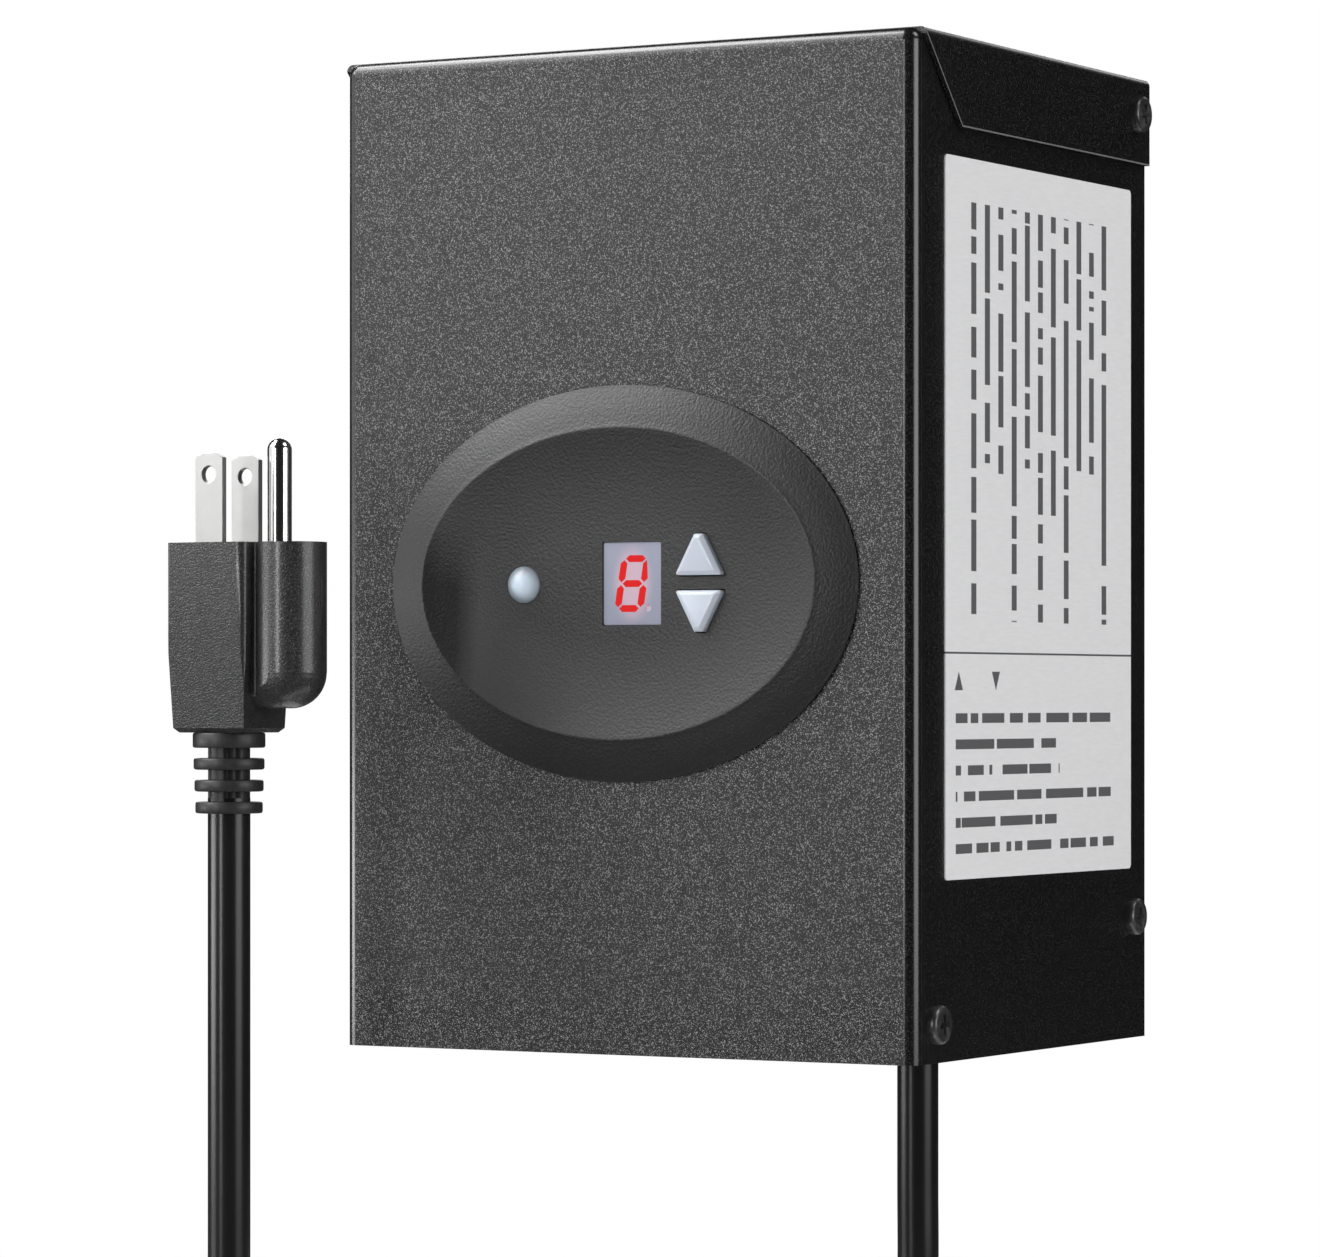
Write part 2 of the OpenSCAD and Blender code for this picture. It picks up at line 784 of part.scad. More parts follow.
// The bezel's surface from its outer edge inwards: [inset, height]. The dish falls as a parabola
dish_steps = 5;
bezel_profile = concat(
  [[0, 0], [0, rim_h], [bevel_w - crest_w, crest_h - crest_w / 4], [bevel_w, crest_h]],
  [for (i = [1:dish_steps]) let (run = i / dish_steps)
    [bevel_w + dish_run * run, dish_h + (crest_h - dish_h) * (1 - run) * (1 - run)]]
);

// Oval bezel: a sloping ring round a shallow dish, with bosses behind it
module bezel() {
  a = bezel_w / 2;
  b = bezel_h / 2;
  color("#333436") on_panel() difference() {
    union() {
      skin([for (p = bezel_profile)
        [for (q = oval_points(a - p[0], b - p[0], fine_fn)) [q[0], q[1], p[1]]]]);
      translate([0, 0, plate_back]) linear_extrude(rim_h - plate_back)
        polygon(oval_points(opening_a - seat, opening_b - seat, fine_fn));
      for (x = [-1, 1]) for (y = [-1, 1]) translate([x * board_boss_x, y * board_boss_y, board_front])
        cylinder(d = boss_d, h = board_gap + rim_h);
      for (x = [-1, 1]) translate([x * boss_x, 0, plate_back - case_flange_t])
        cylinder(d = boss_d, h = case_flange_t + sheet_t + rim_h);
    }
    translate([0, 0, -cut]) linear_extrude(gasket_t + cut)
      oval_ring(gasket_a + seat, gasket_b + seat, gasket_w + 2 * seat);
    for (x = [-1, 1]) for (y = [-1, 1]) translate([x * board_boss_x, y * board_boss_y, board_front - cut])
      cylinder(d = pilot_d, h = board_screw_l + cut);
    for (x = [-1, 1]) translate([x * boss_x, 0, plate_back - case_flange_t - cut])
      cylinder(d = pilot_d, h = case_flange_t + sheet_t + cut);
    translate([sensor_x, 0, plate_back - cut]) cylinder(d = sensor_d + 2 * seat, h = crest_h + sheet_t + cut);
    translate([display_x, 0, 0])
      cube([display_w + 2 * seat, display_h + 2 * seat, 2 * crest_h], center = true);
    at_arrows() translate([0, 0, plate_back - cut]) linear_extrude(crest_h + sheet_t + cut)
      polygon(arrow_points(slide));
  }
}

// Moves a part to the base of each arrow key; the lower one is turned over
module at_arrows() {
  at_up() children();
  at_down() children();
}
module at_up() {
  translate([arrow_x, arrow_gap / 2, 0]) children();
}
module at_down() {
  translate([arrow_x, -arrow_gap / 2, 0]) rotate(180) children();
}

// Soft ring that seals the bezel against the front panel
module bezel_gasket() {
  color("black") on_panel() linear_extrude(gasket_t) oval_ring(gasket_a, gasket_b, gasket_w);
}

// Clear window over the digit
module display_lens() {
  color("lightsteelblue") on_panel() translate([display_x, 0, plate_back])
    linear_extrude(dish_h - lens_recess - plate_back) round_rect(display_w, display_h, corner_r / 2);
}

// The outline of one segment that lies along X, with pointed ends
module segment_shape(long) {
  h = segment_w / 2;
  polygon([
    [-long / 2, 0], [-long / 2 + h, h], [long / 2 - h, h],
    [long / 2, 0], [long / 2 - h, -h], [-long / 2 + h, -h]
  ]);
}

// The seven segments and the dot of a slanted digit
module digit_shape() {
  span = digit_w - segment_w;
  rise = (digit_h - segment_w) / 2;
  for (row = [-1, 0, 1]) translate([row * rise * digit_slant_share, row * rise])
    segment_shape(span - 2 * segment_gap);
  for (side = [-1, 1]) for (row = [-0.5, 0.5])
    translate([side * span / 2 + row * rise * digit_slant_share, row * rise])
      multmatrix([[1, digit_slant_share, 0, 0], [0, 1, 0, 0], [0, 0, 1, 0], [0, 0, 0, 1]])
        rotate(90) segment_shape(rise - 2 * segment_gap);
  translate([digit_w / 2 + dot_d / 2, -rise]) circle(d = dot_d);
}

// Body of the one-digit display, standing on the circuit board
module display_module() {
  color("lightslategray") on_panel() translate([display_x, 0, 0]) difference() {
    translate([-display_w / 2 + seat, -display_h / 2 + seat, board_front])
      cube([display_w - 2 * seat, display_h - 2 * seat, module_face - board_front]);
    translate([0, 0, module_face - segment_depth]) linear_extrude(segment_depth + cut) digit_shape();
  }
}

// Lit bars and dot in the display's face
module display_segments() {
  color("red") on_panel() translate([display_x, 0, module_face - segment_depth])
    linear_extrude(segment_depth) digit_shape();
}

// Translucent dome over the light sensor
module sensor_dome() {
  r = sensor_d / 2;
  ball = (r * r + dome_rise * dome_rise) / (2 * dome_rise);
  color("lightsteelblue") on_panel() translate([sensor_x, 0, 0]) {
    intersection() {
      translate([0, 0, plate_back - dome_flange_t])
        cylinder(r = r, h = dish_h + dome_rise - plate_back + dome_flange_t);
      union() {
        translate([0, 0, plate_back - dome_flange_t])
          cylinder(r = r, h = dish_h - plate_back + dome_flange_t);
        translate([0, 0, dish_h + dome_rise - ball]) sphere(ball, $fn = fine_fn);
      }
    }
    translate([0, 0, plate_back - dome_flange_t]) cylinder(r = r + dome_flange, h = dome_flange_t);
  }
}

// Light sensor on its two legs
module photocell() {
  top = plate_back - dome_flange_t - cell_gap;
  color("peru") on_panel() translate([sensor_x, 0, 0]) {
    translate([0, 0, top - cell_t]) cylinder(d = cell_d, h = cell_t);
    for (x = [-1, 1]) translate([x * cell_leg_x, 0, board_front])
      cylinder(d = cell_leg_d, h = top - cell_t - board_front + cell_t / 2);
  }
}

// Arrow key with a bevelled top and a flange that keeps it behind the bezel
module arrow_key() {
  top = dish_h + arrow_proud;
  skin([
    [for (q = arrow_points(0)) [q[0], q[1], flange_back]],
    [for (q = arrow_points(0)) [q[0], q[1], top - key_bevel]],
    [for (q = arrow_points(-key_bevel)) [q[0], q[1], top]]
  ]);
  translate([0, 0, flange_back]) linear_extrude(key_flange_t) polygon(arrow_points(key_flange));
}

module up_button() {
  color("lightsteelblue") on_panel() at_up() arrow_key();
}

module down_button() {
  color("lightsteelblue") on_panel() at_down() arrow_key();
}

// Plunger of a key switch, in line with the middle of its arrow key
module plunger() {
  low = board_front + tact_h - plunger_in;
  translate([0, key_middle, low]) cylinder(d = plunger_d, h = plunger_top - low);
}

module up_plunger() {
  color("dimgray") on_panel() at_up() plunger();
}

module down_plunger() {
  color("dimgray") on_panel() at_down() plunger();
}

// Bodies of the two key switches, each bored for its plunger
module tact_switches() {
  color("silver") on_panel() at_arrows() translate([0, key_middle, board_front]) difference() {
    translate([-tact_w / 2, -tact_w / 2, 0]) cube([tact_w, tact_w, tact_h]);
    translate([0, 0, tact_h - plunger_in - button_travel - slide])
      cylinder(d = plunger_d + 2 * slide, h = tact_h);
  }
}

// Circuit board on the bezel's bosses
module control_board() {
  color("seagreen") on_panel() difference() {
    translate([0, 0, board_back]) linear_extrude(board_t) round_rect(board_w, board_h, case_r - housing_t);
    for (x = [-1, 1]) for (y = [-1, 1]) translate([x * board_boss_x, y * board_boss_y, board_back - cut])
      cylinder(d = board_screw_d + 2 * seat, h = board_t + 2 * cut);
  }
}

// Four screws through the board into the bosses
module board_screws() {
  color("silver") on_panel() for (x = [-1, 1]) for (y = [-1, 1])
    translate([x * board_boss_x, y * board_boss_y, board_back]) mirror([0, 0, 1])
      pan_screw(board_head_d, board_head_h, board_screw_d, board_screw_l);
}

// Microcontroller with a row of legs on each side
module microcontroller() {
  legs = 7;
  pitch = chip_w / (legs + 1);
  row_y = chip_h / 2 + leg_l / 2;
  color("#222222") on_panel() translate([chip_x, chip_y, board_back - leg_t - chip_t]) {
    translate([-chip_w / 2, -chip_h / 2, 0]) cube([chip_w, chip_h, chip_t]);
    for (side = [-1, 1]) for (i = [1:legs])
      translate([-chip_w / 2 + i * pitch - leg_w / 2, side * row_y - leg_l / 2, chip_t / 2])
        cube([leg_w, leg_l, chip_t / 2 + leg_t]);
  }
}

// Relay with bevelled edges
module relay() {
  color("royalblue") on_panel() translate([relay_x, relay_y, board_back - relay_d])
    linear_extrude(relay_d) round_rect(relay_w, relay_h, corner_r);
}

// Electrolytic capacitor, with its rolled groove and vent
module filter_capacitor() {
  r = cap_d / 2;
  groove = r / 8;
  color("darkslateblue") on_panel() translate([cap_x, cap_y, board_back - cap_l]) difference() {
    rotate_extrude() polygon([
      [0, 0], [r - groove, 0], [r, groove], [r, cap_l - 4 * groove], [r - groove, cap_l - 3 * groove],
      [r, cap_l - 2 * groove], [r, cap_l], [0, cap_l]
    ]);
    for (a = [0, 90]) rotate(a) translate([-r / 2, -groove / 2, -groove]) cube([r, groove, 2 * groove]);
  }
}

// Plug-in header for the wires
module wire_header() {
  color("ivory") on_panel() translate([case_hole_x, case_hole_y, board_back - header_l])
    difference() {
      translate([-header_w / 2, -header_h / 2, 0]) cube([header_w, header_h, header_l]);
      translate([-header_w / 2 + sheet_t, -header_h / 2 + sheet_t, -cut])
        cube([header_w - 2 * sheet_t, header_h - 2 * sheet_t, header_l / 2]);
    }
}

// Plastic housing that closes the control board off from the transformer
module module_housing() {
  back = plate_back - housing_d;
  color("#2b2b2d") on_panel() difference() {
    union() {
      translate([0, 0, plate_back - case_flange_t]) linear_extrude(case_flange_t)
        round_rect(case_flange_w, case_flange_h, case_flange_r);
      translate([0, 0, back - housing_t]) linear_extrude(housing_d + housing_t)
        round_rect(case_w, case_h, case_r);
    }
    translate([0, 0, back]) linear_extrude(housing_d + cut)
      round_rect(case_w - 2 * housing_t, case_h - 2 * housing_t, case_r - housing_t);
    for (x = [-1, 1]) translate([x * boss_x, 0, plate_back - case_flange_t - cut])
      cylinder(d = boss_d + 2 * slide, h = case_flange_t + 2 * cut);
    translate([case_hole_x, case_hole_y, back - housing_t - cut])
      cylinder(d = case_hole_d, h = housing_t + 2 * cut);
  }
}

// Two wide headed screws that clamp the housing and the bezel to the panel
module housing_screws() {
  color("silver") on_panel() for (x = [-1, 1])
    translate([x * boss_x, 0, plate_back - case_flange_t]) mirror([0, 0, 1])
      pan_screw(boss_d + 2 * housing_t, housing_t, board_screw_d, sheet_t + case_flange_t - seat);
}

// Moves core parts to its centre: X right, Y up, Z towards the front
module on_core() {
  translate([0, core_y, core_z]) rotate([90, 0, 0]) children();
}

module at_studs() {
  for (x = [-1, 1]) for (z = [-1, 1]) translate([x * stud_x, z * stud_z, 0]) children();
}

module stud_holes() {
  at_studs() cylinder(d = stud_d + 2 * seat, h = stack_t + 2 * cut, center = true);
}

// Stack of E plates: a yoke above three limbs
module core_e_stack() {
  color("darkgray") on_core() difference() {
    translate([-core_w / 2, limb - core_h / 2, -stack_t / 2]) cube([core_w, core_h - limb, stack_t]);
    for (x = [-2 * limb, limb]) translate([x, limb - core_h / 2 - cut, -stack_t / 2 - cut])
      cube([limb, window_h + cut, stack_t + 2 * cut]);
    stud_holes();
  }
}

// Stack of I plates that closes the limbs below
module core_i_stack() {
  color("gray") on_core() difference() {
    translate([-core_w / 2, -core_h / 2, -stack_t / 2]) cube([core_w, limb, stack_t]);
    stud_holes();
  }
}

// A band round the middle limb, seen along the limb, between two sizes
module band(x0, y0, x1, y1, h) {
  linear_extrude(h, center = true) difference() {
    round_rect(2 * x1, 2 * y1, winding_round + x1 - x0);
    round_rect(2 * x0, 2 * y0, winding_round);
  }
}

// Moves a part to the middle limb, with Z along the limb
module on_limb() {
  translate([0, core_y, core_z]) children();
}

// Bobbin: a square tube with a flange at each end
module bobbin() {
  flange_z = window_h / 2 - bobbin_gap - bobbin_t / 2;
  color("ivory") on_limb() difference() {
    union() {
      linear_extrude(window_h - 2 * bobbin_gap, center = true)
        round_rect(2 * (bobbin_in_x + bobbin_t), 2 * (bobbin_in_y + bobbin_t), winding_round);
      for (z = [-1, 1]) translate([0, 0, z * flange_z])
        cube([2 * bobbin_out_x, 2 * bobbin_out_y, bobbin_t], center = true);
    }
    cube([2 * bobbin_in_x, 2 * bobbin_in_y, window_h], center = true);
  }
}

module primary_winding() {
  color("peru") on_limb()
    band(winding_x0, winding_y0, layer_x - winding_gap, layer_y - winding_gap, wound_h - winding_gap);
}

module secondary_winding() {
  color("chocolate") on_limb()
    band(layer_x, layer_y, winding_x1, winding_y1, wound_h - winding_gap);
}

// Yellow tape round the windings
module winding_tape() {
  color("khaki") on_limb() linear_extrude(wound_h - 2 * winding_gap, center = true) difference() {
    round_rect(2 * (winding_x1 + tape_t + seat), 2 * (winding_y1 + tape_t + seat), 2 * winding_round);
    round_rect(2 * (winding_x1 + seat), 2 * (winding_y1 + seat), winding_round);
  }
}

// Tubes between the back plate and the core
module core_spacers() {
  color("silver") on_core() at_studs() translate([0, 0, -stack_t / 2 - spacer_l]) difference() {
    cylinder(d = spacer_d, h = spacer_l);
    translate([0, 0, -cut]) cylinder(d = stud_d + 2 * seat, h = spacer_l + 2 * cut);
  }
}

// Studs welded to the back plate
module core_studs() {
  color("silver") on_core() at_studs() translate([0, 0, -stack_t / 2 - spacer_l])
    cylinder(d = stud_d, h = spacer_l + stack_t + stud_beyond);
}

module core_nuts() {
  color("gainsboro") on_core() at_studs() translate([0, 0, stack_t / 2]) difference() {
    cylinder(d = nut_w / cos(30), h = nut_h, $fn = 6);
    translate([0, 0, -cut]) cylinder(d = stud_d + 2 * seat, h = nut_h + 2 * cut);
  }
}

// Moves a part to the breaker's lower middle on the back plate, Z towards the front
module on_breaker() {
  translate([breaker_x, -sheet_t, breaker_low]) rotate([90, 0, 0]) children();
}

// Self-resetting breaker: a block on a thin mounting strap, with two blade terminals on top
module thermal_breaker() {
  color("#303030") on_breaker() {
    translate([-breaker_w / 2, 0, 0]) cube([breaker_w, breaker_h, breaker_d]);
    difference() {
      translate([-breaker_w / 2 - breaker_tab, 0, 0])
        cube([breaker_w + 2 * breaker_tab, breaker_h, breaker_tab_t]);
      at_breaker_rivets() cylinder(d = rivet_d + seat, h = 4 * breaker_tab_t, center = true);
    }
    for (x = [-1, 1]) translate([x * breaker_pole - blade_tab_w / 2, breaker_h - seat, breaker_d / 2])
      cube([blade_tab_w, blade_tab_l + seat, blade_tab_t]);
  }
}

module at_breaker_rivets() {
  for (x = [-1, 1]) translate([x * (breaker_w + breaker_tab) / 2, breaker_h / 2, 0]) children();
}

module breaker_rivets() {
  color("silver") on_breaker() at_breaker_rivets() {
    cylinder(d = rivet_d, h = breaker_tab_t);
    translate([0, 0, breaker_tab_t]) intersection() {
      cylinder(d = rivet_head_d, h = rivet_head_h);
      translate([0, 0, rivet_head_h - rivet_head_d]) sphere(rivet_head_d);
    }
  }
}

// Moves a part to the terminal block's seat under the bottom plate, Z down
module on_block() {
  translate([block_x, block_y, plate_low]) mirror([0, 0, 1]) children();
}

// Moves a part to the block's fixing screws, at the underside of the block, Z up
module at_block_screws() {
  for (side = [-1, 1]) translate([block_x + side * (block_w / 2 - block_ear), block_y, plate_low - block_h])
    children();
}

// Barrier terminal block: three ribs divide its two poles
module terminal_block() {
  color("#262626") difference() {
    on_block() {
      translate([-block_w / 2, -block_d / 2, 0]) cube([block_w, block_d, block_h]);
      for (x = [-1, 0, 1]) translate([x * 2 * pole - rib_t / 2, -block_d / 2, 0])
        cube([rib_t, block_d, block_h + barrier_h]);
    }
    on_block() for (side = [-1, 1]) translate([side * pole, 0, 0]) {
      translate([0, 0, block_h / 2])
        cube([blade_tab_w + 2 * seat, blade_tab_t + 2 * seat, block_h + 2 * cut], center = true);
      for (y = [-1, 1]) translate([0, y * block_d / 4, block_h - binding_l])
        cylinder(d = binding_d + 2 * seat, h = binding_l + cut);
    }
    at_block_screws() translate([0, 0, -cut]) cylinder(d = block_screw_d + 2 * seat, h = block_h + 2 * cut);
  }
}

// Brass straps with a blade that passes up through the bottom plate
module terminal_plates() {
  color("goldenrod") on_block() for (side = [-1, 1]) translate([side * pole, 0, 0]) difference() {
    union() {
      translate([-strap_w / 2, -strap_d / 2, block_h]) cube([strap_w, strap_d, strap_t]);
      translate([-blade_tab_w / 2, -blade_tab_t / 2, -sheet_t - tab_up])
        cube([blade_tab_w, blade_tab_t, block_h + sheet_t + tab_up + strap_t / 2]);
    }
    for (y = [-1, 1]) translate([0, y * block_d / 4, block_h - cut])
      cylinder(d = binding_d + 2 * seat, h = 2 * strap_t);
  }
}

// Binding screws, two to a strap, with their heads down
module terminal_screws() {
  color("silver") on_block() for (side = [-1, 1]) for (y = [-1, 1])
    translate([side * pole, y * block_d / 4, block_h + strap_t])
      pan_screw(binding_head_d, binding_head_h, binding_d, binding_l);
}

module block_screws() {
  color("silver") at_block_screws() mirror([0, 0, 1])
    pan_screw(block_screw_head_d, block_screw_head_h, block_screw_d, block_h + 2 * sheet_t);
}

// Moves a part to the ground screw on the back plate, Z towards the front
module on_lug() {
  translate([lug_x, -sheet_t, lug_z]) rotate([90, 0, 0]) children();
}

// Ring lug on the end of the ground wire
module ground_lug() {
  color("gold") on_lug() difference() {
    union() {
      cylinder(d = lug_d, h = lug_t);
      translate([-wire_d / 2, -lug_l, 0]) cube([wire_d, lug_l, lug_t]);
      translate([0, -lug_l / 2, wire_d / 2 + seat]) rotate([90, 0, 0])
        cylinder(d = wire_d + 2 * seat, h = lug_l / 2);
    }
    translate([0, 0, -cut]) cylinder(d = lug_bore, h = lug_t + 2 * cut);
  }
}

module ground_screw() {
  color("limegreen") on_lug() translate([0, 0, lug_t]) pan_screw(lug_head_d, lug_head_h, lug_screw_d, lug_t);
}

// Cable gland: a flange under the plate, a tapered sleeve below and a threaded body above
module cable_gland() {
  color("#1c1c1c") translate([gland_x, gland_y, gland_low]) rotate_extrude() polygon([
    [0, 0], [gland_tip_d / 2, 0], [gland_neck_d / 2, gland_l - gland_flange_h],
    [gland_flange_d / 2, gland_l - gland_flange_h], [gland_flange_d / 2, gland_l],
    [gland_d / 2, gland_l], [gland_d / 2, gland_top - gland_low], [0, gland_top - gland_low]
  ]);
}

module gland_nut() {
  color("#1c1c1c") translate([gland_x, gland_y, plate_top]) difference() {
    cylinder(d = gland_nut_d, h = gland_nut_h, $fn = 6);
    translate([0, 0, -cut]) cylinder(d = gland_d + 2 * seat, h = gland_nut_h + 2 * cut);
  }
}

// Places where the inner wires run: beside the core, above it and in front of the windings
side_run_x = core_w / 2 + 3 * wire_d;
core_top = core_low + core_h;
front_run_y = core_y - bobbin_out_y - 1.5 * wire_d;
flange_top = core_z + window_h / 2 + wire_end_gap;
flange_low = core_z - window_h / 2 - wire_end_gap;
gland_wire_z = gland_top + wire_end_gap;
lead_y = core_y - stack_t / 2 - coil_proud / 2;
nut_mouth_y = core_y - stack_t / 2 + nut_set_back;
nut_end_y = nut_mouth_y - wire_end_gap;
nut_side = wire_d / 2 + seat;

// Black wire from the gland to the near wire nut
module line_wire() {
  x = gland_x - 2 * wire_d;
  nut = nut_x + nut_pitch + nut_side;
  color("#151515") wire([
    [x, gland_y, gland_wire_z],
    [x, gland_y, gland_wire_z + wire_d],
    [gland_x, front_run_y, core_low + wire_d],
    [side_run_x, front_run_y, core_z - window_h / 2],
    [side_run_x, front_run_y, core_z + window_h / 2],
    [side_run_x - 4 * wire_d, lead_y - wire_d, core_top + wire_d],
    [nut + wire_d, nut_end_y - 4 * wire_d, nut_z + wire_d / 2],
    [nut, nut_end_y - 2 * wire_d, nut_z],
    [nut, nut_end_y, nut_z]
  ], [1, 0.4, 0.2]);
}

// White wire from the gland to the far wire nut, over the black one
module neutral_wire() {
  nut = nut_x + nut_side;
  color("white") wire([
    [gland_x + wire_d, gland_y + wire_d, gland_wire_z],
    [gland_x + wire_d, gland_y + wire_d, gland_wire_z + wire_d],
    [side_run_x, gland_y + 2 * wire_d, core_low + 2 * wire_d],
    [side_run_x, gland_y + 2 * wire_d, core_z + window_h / 2],
    [side_run_x - wire_d, gland_y + wire_d, nut_z + 3 * wire_d],
    [nut_x + nut_pitch + wire_d, lead_y + wire_d, nut_z + 4 * wire_d],
    [nut + wire_d, nut_end_y - 4 * wire_d, nut_z + 2 * wire_d],
    [nut, nut_end_y - 2 * wire_d, nut_z],
    [nut, nut_end_y, nut_z]
  ], [1, 0.4, 0.2]);
}

// Green wire from the gland to the ground lug
module ground_wire() {
  lug_wire_y = -sheet_t - wire_d / 2 - seat;
  x = gland_x + 1.5 * wire_d;
  color("green") wire([
    [x, gland_y - wire_d, gland_wire_z],
    [x, gland_y - wire_d, gland_wire_z + wire_d],
    [lug_x - wire_d, gland_y, gland_wire_z + 2 * wire_d],
    [lug_x, gland_y / 2, gland_wire_z + 3 * wire_d],
    [lug_x, lug_wire_y - wire_d, lug_z - lug_l - 4 * wire_d],
    [lug_x, lug_wire_y, lug_z - lug_l - 2 * wire_d],
    [lug_x, lug_wire_y, lug_z - lug_l - wire_end_gap]
  ], [1, 0.2, 0.1]);
}

// The primary's two leads, from the bobbin up to the wire nuts
module primary_leads() {
  for (i = [0, 1]) let (x = nut_x + i * nut_pitch - nut_side) color("saddlebrown") wire([
    [x, lead_y, flange_top],
    [x, lead_y, flange_top + wire_d],
    [x, lead_y, core_top - wire_d],
    [x, nut_end_y - 2 * wire_d, nut_z],
    [x, nut_end_y, nut_z]
  ], [1, 0.1, 0.1]);
}

// The secondary's leads: to the first terminal, to the breaker, and from there to the second terminal
module secondary_leads() {
  tab_top = plate_top + tab_up + wire_end_gap;
  breaker_top = breaker_low + breaker_h + blade_tab_l + wire_end_gap;
  breaker_y = -sheet_t - breaker_d / 2 - blade_tab_t / 2;
  left_run = -side_run_x;
  near_x = breaker_x + breaker_pole;
  far_x = breaker_x - breaker_pole;
  color("firebrick") {
    wire([
      [-limb / 2, lead_y, flange_low],
      [-limb / 2, lead_y, flange_low - wire_d],
      [block_x + pole + wire_d, block_y + 2 * wire_d, tab_top + 2.5 * wire_d],
      [block_x + pole, block_y, tab_top + wire_d],
      [block_x + pole, block_y, tab_top]
    ], [1, 0.2, 0.1]);
    wire([
      [-limb, lead_y, flange_top],
      [-limb, lead_y, flange_top + wire_d],
      [-limb - wire_d, lead_y, core_top + wire_d],
      [near_x, breaker_y - 5 * wire_d, breaker_top + 2 * wire_d],
      [near_x, breaker_y - wire_d, breaker_top + 3 * wire_d],
      [near_x, breaker_y, breaker_top + wire_d],
      [near_x, breaker_y, breaker_top]
    ], [1, 0.1, 0.1]);
    wire([
      [far_x, breaker_y, breaker_top],
      [far_x, breaker_y, breaker_top + wire_d],
      [far_x - wire_d, breaker_y - 3 * wire_d, breaker_top + 2 * wire_d],
      [left_run, breaker_y - 8 * wire_d, breaker_top - wire_d],
      [left_run, front_run_y, core_z + window_h / 2],
      [left_run, front_run_y, core_low],
      [block_x - pole - wire_d, block_y + wire_d, tab_top + 3 * wire_d],
      [block_x - pole, block_y, tab_top + wire_d],
      [block_x - pole, block_y, tab_top]
    ], [0.3, 1, 0.2]);
  }
}

// Wires from the header out through the housing to the bobbin
module control_wires() {
  header_y = -box_d - board_back + header_l;
  hole_z = base_z + bezel_z + case_hole_y;
  x = -2 * limb + 1.5 * wire_d;
  color("orange") wire([
    [case_hole_x, header_y + wire_end_gap, hole_z],
    [case_hole_x, header_y + wire_d, hole_z],
    [case_hole_x, -box_d + sheet_t + housing_d + housing_t + wire_d, hole_z],
    [case_hole_x, front_run_y - wire_d, hole_z + 3 * wire_d],
    [x, front_run_y, flange_top + wire_d],
    [x, lead_y - wire_d, flange_top + 3 * wire_d],
    [x, lead_y, flange_top + wire_d],
    [x, lead_y, flange_top]
  ], [1, 0.1, 0.1]);
}

// Two twist-on wire nuts that lie on the core with their mouths to the front
module wire_nuts() {
  for (i = [0, 1]) color("orange") translate([nut_x + i * nut_pitch, nut_mouth_y, nut_z]) rotate([-90, 0, 0])
    cylinder(d1 = wire_nut_d, d2 = wire_nut_tip_d, h = wire_nut_l);
}

// Cord from the gland down to the coil
module power_cord() {
  color("#151515") tube(lead_points, cord_d, [0, 1, 0], cord_sides);
}

// The cord's stored length, wound in two layers as one unbroken tube
module cord_coil() {
  color("#151515") tube(coil_points, cord_d, [0, 0, 1], coil_sides);
}

// Cord from the coil up to the plug
module plug_lead() {
  color("#151515") tube(plug_points, cord_d, [1, 0, 0], cord_sides);
}

// Strap round the bundle of turns
module coil_tie() {
  half_turn = coil_turn / 2 / 360;
  first = (tie_angle - coil_start_angle) / 360;
  outer = coil_r - turn_pitch * first;
  inner = coil_r - turn_pitch * (first + floor(half_turn - first)) - turn_pitch * tie_slack_share;
  w = outer - inner + cord_d + 2 * tie_gap;
  h = layer_pitch + cord_d + 2 * tie_gap;
  r = cord_d / 2 + tie_gap;
  color("black") translate([coil_x, coil_y, coil_z - layer_pitch / 2]) rotate([0, 0, tie_angle])
    translate([(outer + inner) / 2, 0, 0]) rotate([90, 0, 0]) linear_extrude(tie_w, center = true)
      difference() {
        round_rect(w + 2 * tie_t, h + 2 * tie_t, r + tie_t);
        round_rect(w, h, r);
      }
}

// Ribbed boot below the plug: a collar and rings joined by four ribs
module plug_boot() {
  r = boot_d / 2;
  pitch = ring_h + ring_gap;
  color("#222222") translate([plug_x, plug_y, boot_z]) {
    translate([0, 0, boot_h - collar_h]) cylinder(r = r, h = collar_h);
    for (i = [0:boot_rings - 1]) translate([0, 0, i * pitch])
      cylinder(r = r - boot_taper * (boot_rings - i) / 2, h = ring_h);
    cylinder(d = slot_core_d, h = boot_h);
    intersection() {
      cylinder(d = core_d, h = boot_h);
      union() {
        translate([-core_d / 2, -boot_rib_w / 2, 0]) cube([core_d, boot_rib_w, boot_h]);
        translate([-boot_rib_w / 2, -core_d / 2, 0]) cube([boot_rib_w, core_d, boot_h]);
      }
    }
  }
}

// Side view of the plug's block: straight above, drawn in towards the boot
plug_side = [
  [-plug_low_d / 2 + foot_r, 0], [plug_low_d / 2 - foot_r, 0], [plug_low_d / 2, foot_r],
  [plug_d / 2, taper_h], [plug_d / 2, plug_h], [-plug_d / 2, plug_h], [-plug_d / 2, taper_h],
  [-plug_low_d / 2, foot_r]
];

// Front view of the plug's block
plug_front = [
  [-plug_low_w / 2 + foot_r, 0], [plug_low_w / 2 - foot_r, 0], [plug_low_w / 2, foot_r],
  [plug_w / 2, taper_h], [plug_w / 2, plug_h], [-plug_w / 2, plug_h], [-plug_w / 2, taper_h],
  [-plug_low_w / 2, foot_r]
];

